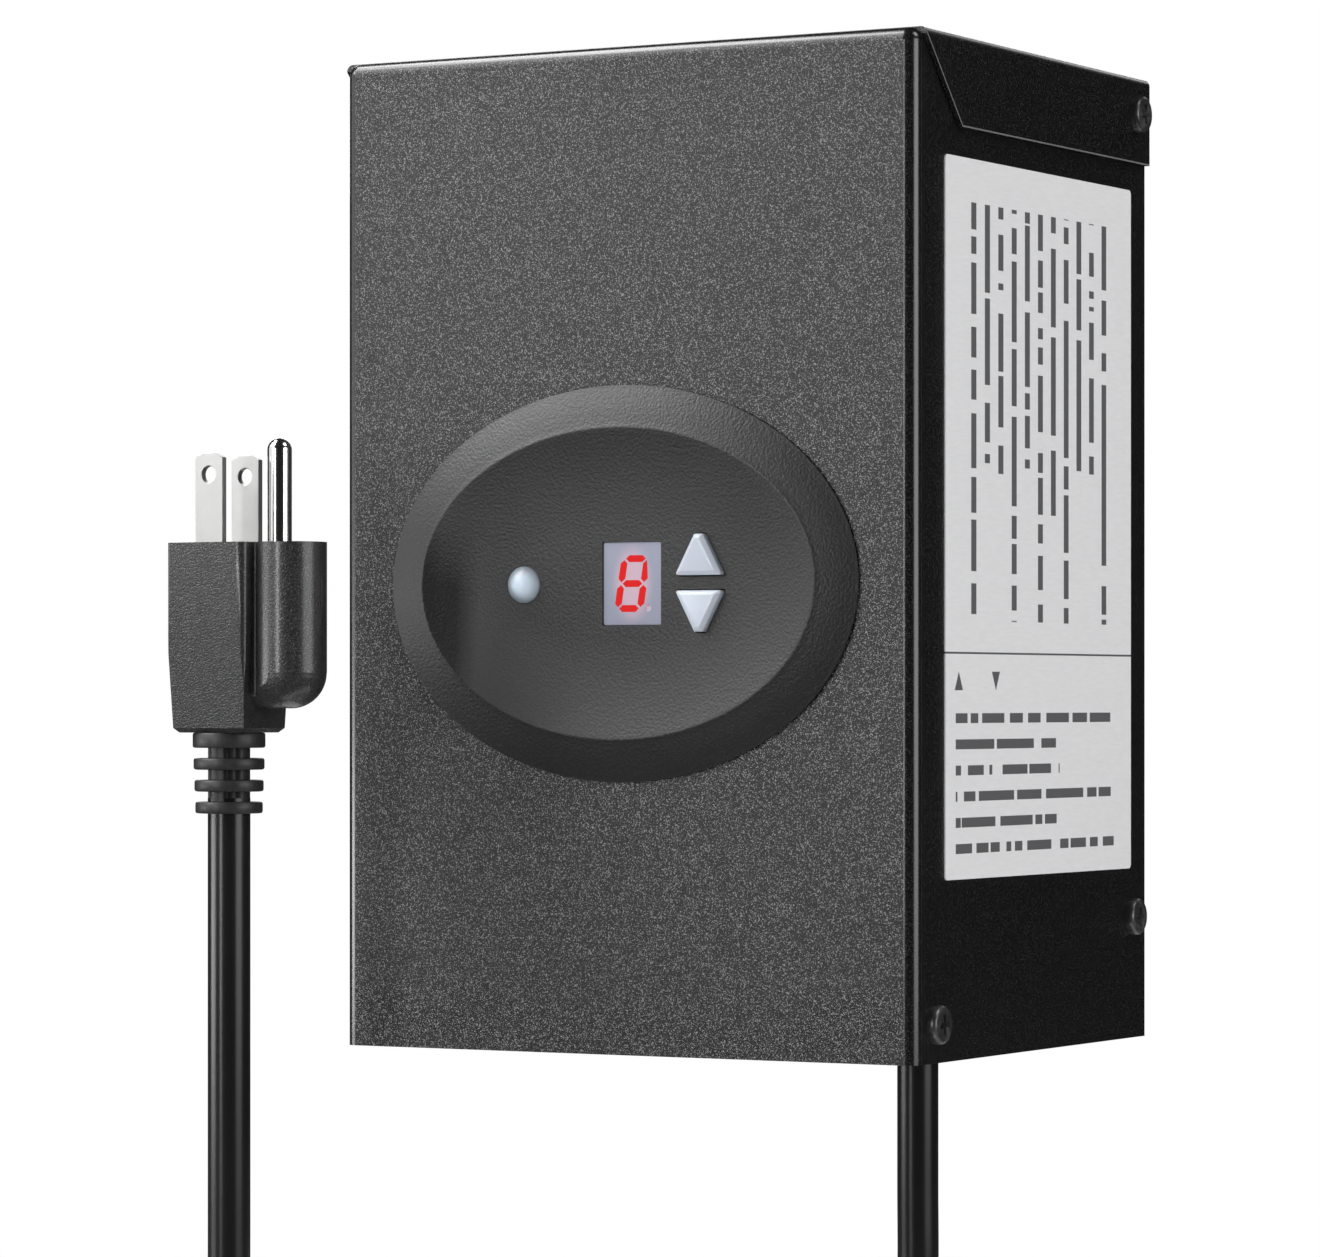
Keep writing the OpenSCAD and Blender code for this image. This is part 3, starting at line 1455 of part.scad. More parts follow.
// Plan of the plug's block: its far edges are rounded more than its near ones
plug_plan = concat(
  arc_points(plug_w / 2 - edge_r, plug_d / 2 - edge_r, edge_r, 0, 90, 6),
  arc_points(-plug_w / 2 + corner_r, plug_d / 2 - corner_r, corner_r, 90, 180, 3),
  arc_points(-plug_w / 2 + corner_r, -plug_d / 2 + corner_r, corner_r, 180, 270, 3),
  arc_points(plug_w / 2 - edge_r, -plug_d / 2 + edge_r, edge_r, 270, 360, 6)
);

// Half height of the fillet that blends the bulge into the block's side
web_x = plug_w / 2 + web_r;
web_y = sqrt(pow(bulge_r + web_r, 2) - pow(web_x - bulge_x, 2));
web_angle = atan2(web_y, web_x - bulge_x);

// Plan of the round bulge that holds the pin, with a hollow fillet on each side
bulge_plan = concat(
  [[0, -web_y]],
  arc_points(web_x, -web_y, web_r, 180, 180 - web_angle, 5),
  arc_points(bulge_x, 0, bulge_r, -web_angle, web_angle, 24),
  arc_points(web_x, web_y, web_r, 180 + web_angle, 180, 5),
  [[0, web_y]]
);

// Moulded plug body: the block, and the bulge that holds the pin and ends in a dome
module plug_body() {
  dome_z = bulge_low + bulge_r;
  color("#2a2a2a") translate([plug_x, plug_y, plug_z]) difference() {
    union() {
      intersection() {
        linear_extrude(plug_h) polygon(plug_plan);
        rotate([90, 0, 90]) linear_extrude(plug_w, center = true) polygon(plug_side);
        rotate([90, 0, 0]) linear_extrude(plug_d, center = true) polygon(plug_front);
      }
      translate([0, 0, dome_z]) linear_extrude(plug_h - dome_z) polygon(bulge_plan);
      intersection() {
        linear_extrude(plug_h) polygon(bulge_plan);
        translate([0, 0, dome_z]) rotate([0, 90, 0]) cylinder(r = bulge_r - seat, h = bulge_x);
      }
      translate([bulge_x, 0, dome_z]) sphere(bulge_r - seat / 2);
    }
    for (side = [-1, 1]) translate([0, side * blade_pitch / 2, plug_h - pin_recess / 2 + cut / 2])
      cube([blade_w + 2 * seat, blade_t + 2 * seat, pin_recess + cut], center = true);
    translate([pin_x, 0, plug_h - pin_recess]) cylinder(d = pin_root_d + 2 * seat, h = pin_recess + cut);
  }
}

// The two flat blades, each with a hole and clipped corners
module plug_blades() {
  low = plug_h - pin_recess;
  tip = plug_h + blade_l;
  color("silver") translate([plug_x, plug_y, plug_z]) for (side = [-1, 1])
    translate([0, side * blade_pitch / 2 + blade_t / 2, 0]) rotate([90, 0, 0]) linear_extrude(blade_t)
      difference() {
        polygon([
          [-blade_w / 2, low], [blade_w / 2, low], [blade_w / 2, tip - blade_clip_h],
          [blade_w / 2 - blade_clip, tip], [-blade_w / 2 + blade_clip, tip],
          [-blade_w / 2, tip - blade_clip_h]
        ]);
        translate([0, tip - blade_hole_drop]) circle(d = blade_hole_d);
      }
}

// Round grounding pin with a domed end and a thicker root that sits in the moulding
module ground_pin() {
  r = pin_d / 2;
  color("silver") translate([plug_x + pin_x, plug_y, plug_top]) {
    translate([0, 0, -pin_recess]) cylinder(d = pin_root_d, h = pin_recess);
    cylinder(r = r, h = pin_l - r);
    translate([0, 0, pin_l - r]) sphere(r);
  }
}

front_cover();
back_plate();
bottom_plate();
cover_screws();
chassis_rivets();
side_label();
bezel();
bezel_gasket();
display_lens();
display_module();
display_segments();
sensor_dome();
photocell();
up_button();
down_button();
up_plunger();
down_plunger();
tact_switches();
control_board();
board_screws();
microcontroller();
relay();
filter_capacitor();
wire_header();
module_housing();
housing_screws();
core_e_stack();
core_i_stack();
bobbin();
primary_winding();
secondary_winding();
winding_tape();
core_spacers();
core_studs();
core_nuts();
thermal_breaker();
breaker_rivets();
terminal_block();
terminal_plates();
terminal_screws();
block_screws();
ground_lug();
ground_screw();
cable_gland();
gland_nut();
line_wire();
neutral_wire();
ground_wire();
primary_leads();
secondary_leads();
control_wires();
wire_nuts();
power_cord();
cord_coil();
coil_tie();
plug_lead();
plug_boot();
plug_body();
plug_blades();
ground_pin();
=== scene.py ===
"""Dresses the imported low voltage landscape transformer.

Finer surfaces stand for the CAD nodes whose curves show, and each piece has a procedural material.
The file is laid out as an add-on: one operator makes each piece or group of like pieces.
"""

import json
import math

import bmesh
import bpy
import numpy as np
from bpy.props import FloatProperty, FloatVectorProperty, PointerProperty
from bpy.types import Operator, Panel, PropertyGroup
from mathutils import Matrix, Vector

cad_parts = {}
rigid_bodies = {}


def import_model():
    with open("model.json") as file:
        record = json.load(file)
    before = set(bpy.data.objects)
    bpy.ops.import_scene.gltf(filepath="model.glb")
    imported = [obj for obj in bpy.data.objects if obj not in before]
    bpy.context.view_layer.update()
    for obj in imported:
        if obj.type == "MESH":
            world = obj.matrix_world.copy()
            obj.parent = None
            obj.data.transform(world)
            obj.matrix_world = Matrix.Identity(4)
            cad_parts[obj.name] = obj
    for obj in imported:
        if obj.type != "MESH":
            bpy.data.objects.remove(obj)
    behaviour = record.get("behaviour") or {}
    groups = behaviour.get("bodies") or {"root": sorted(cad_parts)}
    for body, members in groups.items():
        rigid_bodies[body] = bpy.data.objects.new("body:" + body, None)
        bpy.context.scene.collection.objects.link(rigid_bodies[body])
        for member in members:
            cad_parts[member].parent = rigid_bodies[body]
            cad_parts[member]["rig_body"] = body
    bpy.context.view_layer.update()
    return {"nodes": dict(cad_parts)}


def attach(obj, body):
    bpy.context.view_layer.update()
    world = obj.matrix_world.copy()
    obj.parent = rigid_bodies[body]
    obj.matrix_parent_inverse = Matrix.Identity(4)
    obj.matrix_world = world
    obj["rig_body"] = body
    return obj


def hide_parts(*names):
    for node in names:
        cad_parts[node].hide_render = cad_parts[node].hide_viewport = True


bl_info = {
    "name": "Landscape transformer",
    "version": (1, 0, 0),
    "blender": (4, 5, 0),
    "location": "View3D > Sidebar > Transformer",
    "description": "Dresses the packed landscape transformer with its surfaces and materials",
    "category": "Object",
}

MM = 0.001
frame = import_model()
NODES = frame["nodes"]

# Places on the frame: the front panel's plane, the bezel's centre, the right side's plane and the floor
FRONT_Y = -107 * MM
BEZEL_Z = -76.7 * MM
SIDE_X = 65 * MM
FLOOR_Z = -265.2 * MM
MIDDLE = (0, -60 * MM, -80 * MM)
# Places across the panel: the display, the light sensor's dome and the arrow keys
DISPLAY_X = 2.9 * MM
DOME_X = -21.9 * MM
ARROW_X = 18.6 * MM
# The side plate's middle
LABEL_Y, LABEL_Z = -51.1 * MM, -64.2 * MM
# The ears' slanted edges, from the front at the top to the foot: places along Y and Z
EAR_EDGE = ((-104.2 * MM, 28.6 * MM), (-88.7 * MM, 12 * MM))
# Points of a CAD mesh this near are merged, and so are faces that turn by less than these degrees
WELD = 0.002 * MM
FLAT = 0.6


def colour(name, words, value):
    return FloatVectorProperty(name=name, description=words, subtype="COLOR", size=3, min=0, max=1,
                               default=value)


def length(name, words, value):
    return FloatProperty(name=name, description=words, unit="LENGTH", min=0, default=value)


def power(name, words, value):
    return FloatProperty(name=name, description=words, unit="POWER", min=0, default=value)


class HousingSettings(PropertyGroup):
    paint: colour("Paint", "Powder coat of the cover", (0.004, 0.004, 0.0042))
    speckle: colour("Speckle", "Light grains in the powder coat", (0.25, 0.25, 0.253))
    chassis: colour("Chassis", "Paint of the back and bottom plates", (0.014, 0.014, 0.015))
    grain: length("Grain", "Size of the powder coat's grains", 0.15 * MM)
    # Painted highlight: the rubbed rim is a lighter colour painted along the ears' cut edges
    painted_rim_highlight: colour("Rubbed rim", "Bare rim along the cut edges of the ears", (0.16, 0.16, 0.165))
    rim: length("Rim", "Width of the rubbed rim", 0.32 * MM)
    edge: length("Sheet edge", "Rounding of the cut edges of the sheet", 0.16 * MM)
    screw: colour("Screws", "Blackened steel of the cover screws", (0.08, 0.08, 0.082))
    foil: colour("Label", "Satin foil of the side plate", (0.78, 0.78, 0.79))
    ink: colour("Ink", "Print on the side plate", (0.03, 0.03, 0.033))


class PanelSettings(PropertyGroup):
    bezel: colour("Bezel", "Moulded plastic of the bezel", (0.014, 0.014, 0.015))
    half_width: length("Bezel half width", "Half width of the oval bezel", 53 * MM)
    half_height: length("Bezel half height", "Half height of the oval bezel", 39.3 * MM)
    ring: length("Ring width", "Width of the sloping outer ring", 8.5 * MM)
    crest: length("Crest height", "How far the crest stands out", 3 * MM)
    dish: length("Dish floor", "How far the floor of the dish stands out", 1 * MM)
    run: length("Dish run", "Width of the dish's sloping wall", 20 * MM)
    key: colour("Keys", "Pale plastic of the arrow keys", (0.46, 0.505, 0.575))
    window: colour("Display face", "Face of the display", (0.18, 0.19, 0.245))
    digit: colour("Digit", "Lit segments of the digit", (0.46, 0.006, 0.006))
    dome: colour("Sensor dome", "Translucent dome over the light sensor", (0.31, 0.365, 0.42))


class CordSettings(PropertyGroup):
    diameter: length("Diameter", "Diameter of the cord", 8.4 * MM)
    jacket: colour("Jacket", "Glossy black jacket of the cord", (0.007, 0.007, 0.0075))
    moulding: colour("Plug moulding", "Grained moulding of the plug", (0.022, 0.022, 0.023))
    grain: length("Plug grain", "Size of the plug's leather grain", 0.62 * MM)
    contact: colour("Contacts", "Nickel plating of the blades and the pin", (0.78, 0.78, 0.77))


class StageSettings(PropertyGroup):
    key: power("Key lamp", "Large soft lamp at the front left, above", 32)
    low: power("Low lamp", "Flat lamp near the floor at the left, for the cord", 4)
    front: power("Front lamp", "Narrow lamp in front, for the fold", 5)
    right: power("Right lamp", "Tall wide lamp at the right, for the label, the plug and the edges", 12)
    label: power("Label lamp", "Lamp above the right side, for its label", 5)
    top: power("Top lamp", "Lamp high at the left, for the top bend", 5.5)
    near: power("Near lamp", "Small lamp close to the front, for the upper left of the front", 0.3)
    rear: power("Rear lamp", "Lamp above and behind, for the top of the right side", 0.6)
    back: power("Back lamp", "Large soft lamp behind at the left, for the back plate", 8)
    ambient: FloatProperty(name="Ambient", description="Strength of the light from all round",
                           min=0, max=1, default=0.25)


# Shader sockets


def sum_of(operation, turned=False):
    """A method that adds a Math node on its socket and the other values, which come first if turned."""
    def method(self, *others):
        values = (*others, self) if turned else (self, *others)
        return self.finish.node("Math", {"operation": operation}, dict(enumerate(values)))
    return method


class Socket:
    """An output in a node tree. Arithmetic on it adds Math nodes to the tree."""

    def __init__(self, finish, output):
        self.finish = finish
        self.output = output

    __add__ = __radd__ = sum_of("ADD")
    __sub__ = sum_of("SUBTRACT")
    __rsub__ = sum_of("SUBTRACT", turned=True)
    __mul__ = __rmul__ = sum_of("MULTIPLY")
    __truediv__ = sum_of("DIVIDE")
    __pow__ = sum_of("POWER")
    __mod__ = sum_of("FLOORED_MODULO")
    __abs__ = sum_of("ABSOLUTE")
    __lt__ = sum_of("LESS_THAN")
    __gt__ = sum_of("GREATER_THAN")
    least = sum_of("MINIMUM")
    most = sum_of("MAXIMUM")
    floor = sum_of("FLOOR")
    sine = sum_of("SINE")

    def wave(self, pitch):
        """A wave from 0 to 1 with that pitch."""
        return (self * (2 * math.pi / pitch)).sine() * 0.5 + 0.5

    def step(self, low, high):
        """Rises smoothly from 0 at low to 1 at high."""
        settings = {"interpolation_type": "SMOOTHSTEP"}
        return self.finish.node("MapRange", settings, {0: self, 1: low, 2: high})


def toned(shade, share):
    """The colour with each part multiplied, and none over 1."""
    return [min(1, share * part) for part in shade]


class Finish:
    """The node tree of one material or of the world."""

    def __init__(self, owner):
        self.owner = owner
        owner.use_nodes = True
        self.tree = owner.node_tree
        self.tree.nodes.clear()

    def node(self, kind, settings=None, sockets=None, out=0):
        """Adds a shader node of that type: first its settings are set, then its sockets or links."""
        made = self.tree.nodes.new("ShaderNode" + kind)
        for name, value in (settings or {}).items():
            setattr(made, name, value)
        for name, value in (sockets or {}).items():
            socket = made.inputs[name]
            if isinstance(value, Socket):
                self.tree.links.new(value.output, socket)
            else:
                socket.default_value = (*value, 1) if socket.type == "RGBA" else value
        return Socket(self, made.outputs[out]) if out is not None else None

    def place(self):
        """The point on the object, in metres."""
        return self.node("TexCoord", out="Object")

    def xyz(self, vector=None):
        vector = vector or self.place()
        return [self.node("SeparateXYZ", None, {0: vector}, out=i) for i in range(3)]

    def vector(self, x, y, z):
        return self.node("CombineXYZ", None, {0: x, 1: y, 2: z})

    def stretched(self, x, y, z):
        """The point on the object with each axis multiplied."""
        return self.node("VectorMath", {"operation": "MULTIPLY"}, {0: self.place(), 1: (x, y, z)})

    def noise(self, size, detail=2.0, place=None, rough=0.5):
        """Noise whose spots are about that size."""
        return self.node("TexNoise", None, {
            "Vector": place or self.place(), "Scale": 0.5 / size, "Detail": detail, "Roughness": rough})

    def creases(self, size, place):
        """Distance to the nearest border in a pattern of cells of about that size."""
        sockets = {"Vector": place, "Scale": 1 / size}
        return self.node("TexVoronoi", {"feature": "DISTANCE_TO_EDGE"}, sockets, out="Distance")

    def mix(self, share, first, second):
        return self.node("Mix", {"data_type": "RGBA"}, {0: share, 6: first, 7: second}, out=2)

    def tones(self, share, shade, first, second):
        """Mixes two tones of one colour."""
        return self.mix(share, toned(shade, first), toned(shade, second))

    def bump(self, height, depth):
        return self.node("Bump", None, {"Distance": depth, "Height": height})

    def surface(self, **sockets):
        """Ends the tree in one principled shader, and gives its material."""
        named = {name.replace("_", " "): value for name, value in sockets.items()}
        return self.end(self.node("BsdfPrincipled", None, named))

    def end(self, shader, kind="OutputMaterial"):
        self.node(kind, None, {"Surface": shader}, out=None)
        return self.owner


def finish(name):
    """The node tree of a new material."""
    return Finish(bpy.data.materials.new(name))


def coat(material, *names):
    """Gives CAD nodes or pieces that material in all their slots."""
    for name in names:
        mesh = bpy.data.objects[name].data
        mesh.materials.clear()
        mesh.materials.append(material)


# Surfaces


def sheet_faces(rows, columns):
    """Quads between neighbouring points of a grid whose rows are closed rings."""
    row, column = np.meshgrid(np.arange(rows - 1), np.arange(columns), indexing="ij")
    start, beside = row * columns, (column + 1) % columns
    corners = [start + column, start + beside, start + columns + beside, start + columns + column]
    return np.stack(corners, axis=-1).reshape(-1, 4)


def new_object(name, data):
    """An object in the scene, at the origin."""
    made = bpy.data.objects.new(name, data)
    bpy.context.scene.collection.objects.link(made)
    return made


def mesh_object(name, points, faces, sharp=35):
    """A mesh object with its faces turned outwards, smooth but for edges over the sharp angle."""
    mesh = bpy.data.meshes.new(name)
    mesh.from_pydata(points.tolist(), [], faces)
    work = bmesh.new()
    work.from_mesh(mesh)
    bmesh.ops.recalc_face_normals(work, faces=work.faces)
    work.to_mesh(mesh)
    work.free()
    smooth(mesh, sharp)
    return new_object(name, mesh)


def solid(name, rings, sharp=35):
    """A closed mesh object over stacked rings, as rows, columns and axes, with flat ends."""
    rows, columns = rings.shape[:2]
    faces = sheet_faces(rows, columns).tolist()
    faces.append(list(range(columns))[::-1])
    faces.append(list(range((rows - 1) * columns, rows * columns)))
    return mesh_object(name, rings.reshape(-1, 3), faces, sharp)


def smooth(mesh, sharp):
    mesh.polygons.foreach_set("use_smooth", [True] * len(mesh.polygons))
    mesh.set_sharp_from_angle(angle=math.radians(sharp))
    mesh.update()


def applied(piece):
    """Replaces a piece's mesh by what its modifiers make of it."""
    graph = bpy.context.evaluated_depsgraph_get()
    done = bpy.data.meshes.new_from_object(piece.evaluated_get(graph))
    piece.modifiers.clear()
    piece.data = done
    return done


def settle(piece, sharp=35):
    """Applies the modifiers of a piece, and shades it smooth so that its flat faces stay flat."""
    smooth(applied(piece), sharp)
    flat = piece.modifiers.new("flat faces", "WEIGHTED_NORMAL")
    flat.keep_sharp = True
    flat.weight = 100
    applied(piece)
    return piece


def carve(piece, *cutters):
    """Takes the cutters' solids out of a piece."""
    for cutter in cutters:
        cut = piece.modifiers.new(cutter.name, "BOOLEAN")
        cut.operation = "DIFFERENCE"
        cut.solver = "EXACT"
        cut.object = cutter
    settle(piece)
    for cutter in cutters:
        bpy.data.objects.remove(cutter)
    return piece


def rounded(piece, width, segments, angle):
    """Rounds the sharp edges of a piece."""
    edge = piece.modifiers.new("rounded edges", "BEVEL")
    edge.width = width
    edge.segments = segments
    edge.limit_method = "ANGLE"
    edge.angle_limit = math.radians(angle)
    return settle(piece, 40)


def refined(node, width=0.0, segments=2, sharp=30):
    """A merged copy of a CAD node's mesh with rounded edges and smooth bends."""
    work = bmesh.new()
    work.from_mesh(NODES[node].data)
    bmesh.ops.remove_doubles(work, verts=work.verts, dist=WELD)
    bmesh.ops.dissolve_limit(work, angle_limit=math.radians(FLAT), verts=work.verts, edges=work.edges)
    mesh = bpy.data.meshes.new("fine_" + node)
    work.to_mesh(mesh)
    work.free()
    smooth(mesh, sharp)
    piece = new_object("fine_" + node, mesh)
    return rounded(piece, width, segments, sharp) if width else piece


def stand_for(piece, material, slot, *nodes, body="housing"):
    """Coats a piece, rides it on its body, and hides the CAD nodes that it replaces. The slot is not used.
    """
    coat(material, piece.name)
    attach(piece, body)
    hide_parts(*nodes)


def ring_angles(count):
    return np.linspace(0, 2 * np.pi, count, endpoint=False)


def ringed(x, y, height):
    """Rings from rows of X and of Y, and a height for each."""
    return np.stack([x, y, np.repeat(height[:, None], x.shape[1], axis=1)], axis=-1)


def revolved(profile, count=64):
    """A profile of radii and heights turned round the Z axis: x = r cos a, y = r sin a, z = h."""
    angle = ring_angles(count)
    radius, height = np.asarray(profile, float).T
    return ringed(np.outer(radius, np.cos(angle)), np.outer(radius, np.sin(angle)), height)


def on_panel(points, x=0.0, y=0.0):
    """Takes panel points, X right, Y up and Z out of the front, to the front round the bezel's centre."""
    across, up, out = np.moveaxis(points, -1, 0)
    return np.stack([across + x, FRONT_Y - out, BEZEL_Z + up + y], axis=-1)


def rectangle(x, y):
    """Corners at plus and minus x and y, anticlockwise."""
    return np.array([[-x, -y], [x, -y], [x, y], [-x, y]])


def unit(rows):
    """Vectors in rows, each divided by its length."""
    return rows / np.linalg.norm(rows, axis=1)[:, None]


def round_outline(corners, radius, steps):
    """A convex outline, anticlockwise, with each corner drawn as an arc of that radius."""
    back = unit(np.roll(corners, 1, axis=0) - corners)
    ahead = unit(np.roll(corners, -1, axis=0) - corners)
    half = np.arccos(np.sum(back * ahead, axis=1)) / 2
    middle = unit(back + ahead)
    centre = corners + middle * (radius / np.sin(half))[:, None]
    start = np.arctan2(back[:, 1], back[:, 0]) + np.pi / 2
    turn = np.pi - 2 * half
    share = np.linspace(0, 1, steps + 1)
    angle = start[:, None] + turn[:, None] * share[None, :]
    arcs = centre[:, None, :] + radius * np.stack([np.cos(angle), np.sin(angle)], axis=-1)
    return arcs.reshape(-1, 2)


def lofted(outlines, heights):
    """Rings of one outline each, at their heights."""
    return np.stack([np.column_stack([o, np.full(len(o), h)]) for o, h in zip(outlines, heights)])


def smooth_path(points, spacing):
    """A Catmull-Rom curve through points, resampled by its length to equal spacing."""
    p = np.asarray(points, float)
    a = np.vstack([2 * p[0] - p[1], p, 2 * p[-1] - p[-2]])
    t = np.linspace(0, 1, 24, endpoint=False)[:, None]
    w = [t * 0 + a[i:len(p) - 1 + i, None, :] for i in range(4)]
    curve = 0.5 * (2 * w[1] + (w[2] - w[0]) * t + (2 * w[0] - 5 * w[1] + 4 * w[2] - w[3]) * t**2
                   + (3 * w[1] - w[0] - 3 * w[2] + w[3]) * t**3)
    curve = np.vstack([curve.reshape(-1, 3), p[-1]])
    far = np.concatenate([[0], np.cumsum(np.linalg.norm(np.diff(curve, axis=0), axis=1))])
    even = np.linspace(0, far[-1], int(far[-1] / spacing) + 1)
    return np.column_stack([np.interp(even, far, curve[:, k]) for k in range(3)])


def tube(path, radius, side, count):
    """A circle carried along a path: path + radius (u cos a + v sin a), u square to path and side."""
    ahead = unit(np.gradient(path, axis=0))
    u = unit(np.cross(side, ahead))
    v = np.cross(ahead, u)
    angle = ring_angles(count)
    turned = u[:, None, :] * np.cos(angle)[:, None] + v[:, None, :] * np.sin(angle)[:, None]
    return path[:, None, :] + radius * turned


# Materials


def moulded(name, shade, rough=0.5, grain=0.35 * MM, depth=0.02 * MM, gloss=0.35):
    """Moulded plastic: spark grain as a fine bump, with slightly uneven gloss and colour."""
    f = finish(name)
    fine = f.noise(grain, 3)
    broad = f.noise(9 * MM, 2)
    return f.surface(
        Base_Color=f.tones(fine.step(0.25, 0.8), shade, 0.82, 1.22), Roughness=rough - 0.06 + 0.12 * broad,
        Specular_IOR_Level=gloss, Normal=f.bump(fine, depth))


def metal(name, shade, rough=0.28, along=(1, 1, 1), worn=0.12):
    """Plated metal: fine lines along the axis of the least number, with clouded gloss."""
    f = finish(name)
    lines = f.noise(0.25 * MM, 3, f.stretched(*along))
    clouds = f.noise(4 * MM, 3)
    return f.surface(
        Base_Color=f.tones(clouds.step(0.3, 0.75) * worn * 4, shade, 1, 0.72), Metallic=1.0,
        Roughness=rough + worn * (lines - 0.5) + worn * (clouds - 0.5), Normal=f.bump(lines, 0.004 * MM))


def rubbery(name, shade, rough=0.42):
    """Soft insulation: a dull sheen with long faint drawing marks."""
    f = finish(name)
    marks = f.noise(0.8 * MM, 2)
    broad = f.noise(12 * MM, 2)
    return f.surface(
        Base_Color=f.tones(broad, shade, 0.85, 1.15), Roughness=rough + 0.1 * (marks - 0.5),
        Normal=f.bump(marks, 0.01 * MM))


def powder_coat(name, shade, speckle, grain, painted_rim_highlight=None, rim=0.0):
    """Textured powder coat: fine grains as a bump, light grains among them, and broad faint clouds.

    The light grains are painted dimmer on the sides and the bends, as painted shade, and show most on faces
    to the front; bends are also smoother and glossier. A painted highlight shows in a rim of that width
    along the ears' slanted and lower edges."""
    f = finish(name)
    grains = f.noise(grain, 2, rough=0.6)
    peaks = f.noise(0.6 * grain, 1)
    broad = f.noise(30 * MM, 2)
    light = (grains * 0.5 + peaks * 0.5).step(0.535, 0.61)
    across, forward, down = f.xyz(f.node("TexCoord", out="Normal"))
    # A bend faces two ways at once: to the front and a side, or up and one of those
    fold = abs(across * forward).step(0.05, 0.12)
    bend = fold.most((abs(down) * abs(across).most(abs(forward))).step(0.34, 0.46))
    painted_facing_light = 0.12 + 0.88 * forward * forward + 0.4 * down * down
    # Painted shade: fewer light grains on the sides and the bends, so they look darker
    base = f.mix(light * painted_facing_light * (1 - 0.8 * bend), shade, speckle)
    base = f.mix(broad * 0.3, base, toned(shade, 0.75))
    if painted_rim_highlight:
        x, y, z = f.xyz()
        (near, high), (foot, low) = EAR_EDGE
        slant = math.hypot(foot - near, high - low)
        inside = (y - near) * ((high - low) / slant) + (z - high) * ((foot - near) / slant)
        # Painted highlight: a lighter rim along the ears' slanted and lower edges
        worn = (abs(x) > SIDE_X + 0.1 * MM) * (abs(across) > 0.5) * (inside.least(z - low) < rim)
        base = f.mix(worn, base, painted_rim_highlight)
    return f.surface(
        Base_Color=base, Roughness=0.32 - 0.06 * light - 0.08 * bend, Specular_IOR_Level=0.42,
        Coat_Weight=0.7 * bend, Coat_Roughness=0.16,
        Normal=f.bump((grains * 0.7 + peaks * 0.5) * (1 - 0.75 * bend), 0.10 * MM))


# The camera that the photograph's corners give: its place in m, its turn to the left in degrees,
# its lens in mm and how far its picture is shifted up
CAMERA_PLACE = (0.5266, -1.0284, -0.0996)
CAMERA_TURN = 29.336
CAMERA_LENS = 146.26
CAMERA_SHIFT = 0.0538


class TRANSFORMER_OT_camera(Operator):
    """Sets the camera where the photograph was taken: level, off to the right, with a long lens"""

    bl_idname = "transformer.camera"
    bl_label = "Camera"

    def execute(self, context):
        data = bpy.data.cameras.new("camera")
        data.sensor_fit = "HORIZONTAL"
        data.sensor_width = 36
        data.lens = CAMERA_LENS
        data.shift_y = CAMERA_SHIFT
        data.clip_start = 0.05
        data.clip_end = 40
        camera = new_object("camera", data)
        camera.location = CAMERA_PLACE
        camera.rotation_euler = (math.pi / 2, 0, math.radians(CAMERA_TURN))
        context.scene.camera = camera
        return {"FINISHED"}


# The cord's route, as in part.scad: down from the gland, round the coil and up to the plug
LEAD = np.array([[x, -50, z] for x, z in (
    (37, -166), (37, -182), (37, -199), (37, -216), (36, -225), (32.5, -233), (27, -240), (20, -245.5),
    (12, -249), (3, -250), (-1.5, -250))]) * MM
RISE = np.array([[-65, y, z] for y, z in (
    (-113.5, -259), (-115, -259), (-124, -258), (-132, -254.5), (-139, -249), (-144.5, -242), (-148, -234),
    (-149, -225), (-149, -205), (-149, -185), (-149, -165), (-149, -145), (-149, -122))]) * MM
# The coil in mm: its middle, its outer radius, and how far apart its turns and its two layers lie
COIL_MIDDLE = (-10, -105, -250)
COIL_RADIUS = 55
COIL_PITCH = 9.2
COIL_LAYER = 9
COIL_TURNS = 4.25


def part_way(along, low, high):
    """0 up to low, 1 from high on, and even in between."""
    return np.clip((along - low) / (high - low), 0, 1)


def coil_path():
    """The coil: one pitch a turn inwards and out again, one layer lower after half a turn in the middle."""
    end = COIL_TURNS * 360
    turn = np.linspace(0, end, round(end / 15) + 1)
    radius = COIL_RADIUS - COIL_PITCH * (end / 2 - np.abs(turn - end / 2)) / 360
    angle = np.radians(90 + turn)
    x, y, z = COIL_MIDDLE
    fall = COIL_LAYER * part_way(turn, end / 2 - 90, end / 2 + 90)
    return np.column_stack([x + radius * np.cos(angle), y + radius * np.sin(angle), z - fall]) * MM


def jacket_finish(shade):
    """A glossy jacket with faint drawing marks and a little dust."""
    f = finish("glossy jacket")
    drawn = f.noise(0.5 * MM, 2, f.stretched(1, 1, 0.12))
    dust = f.noise(16 * MM, 3)
    return f.surface(
        Base_Color=f.tones(dust, shade, 0.8, 1.6), Roughness=0.20 + 0.08 * dust,
        Normal=f.bump(drawn, 0.01 * MM))


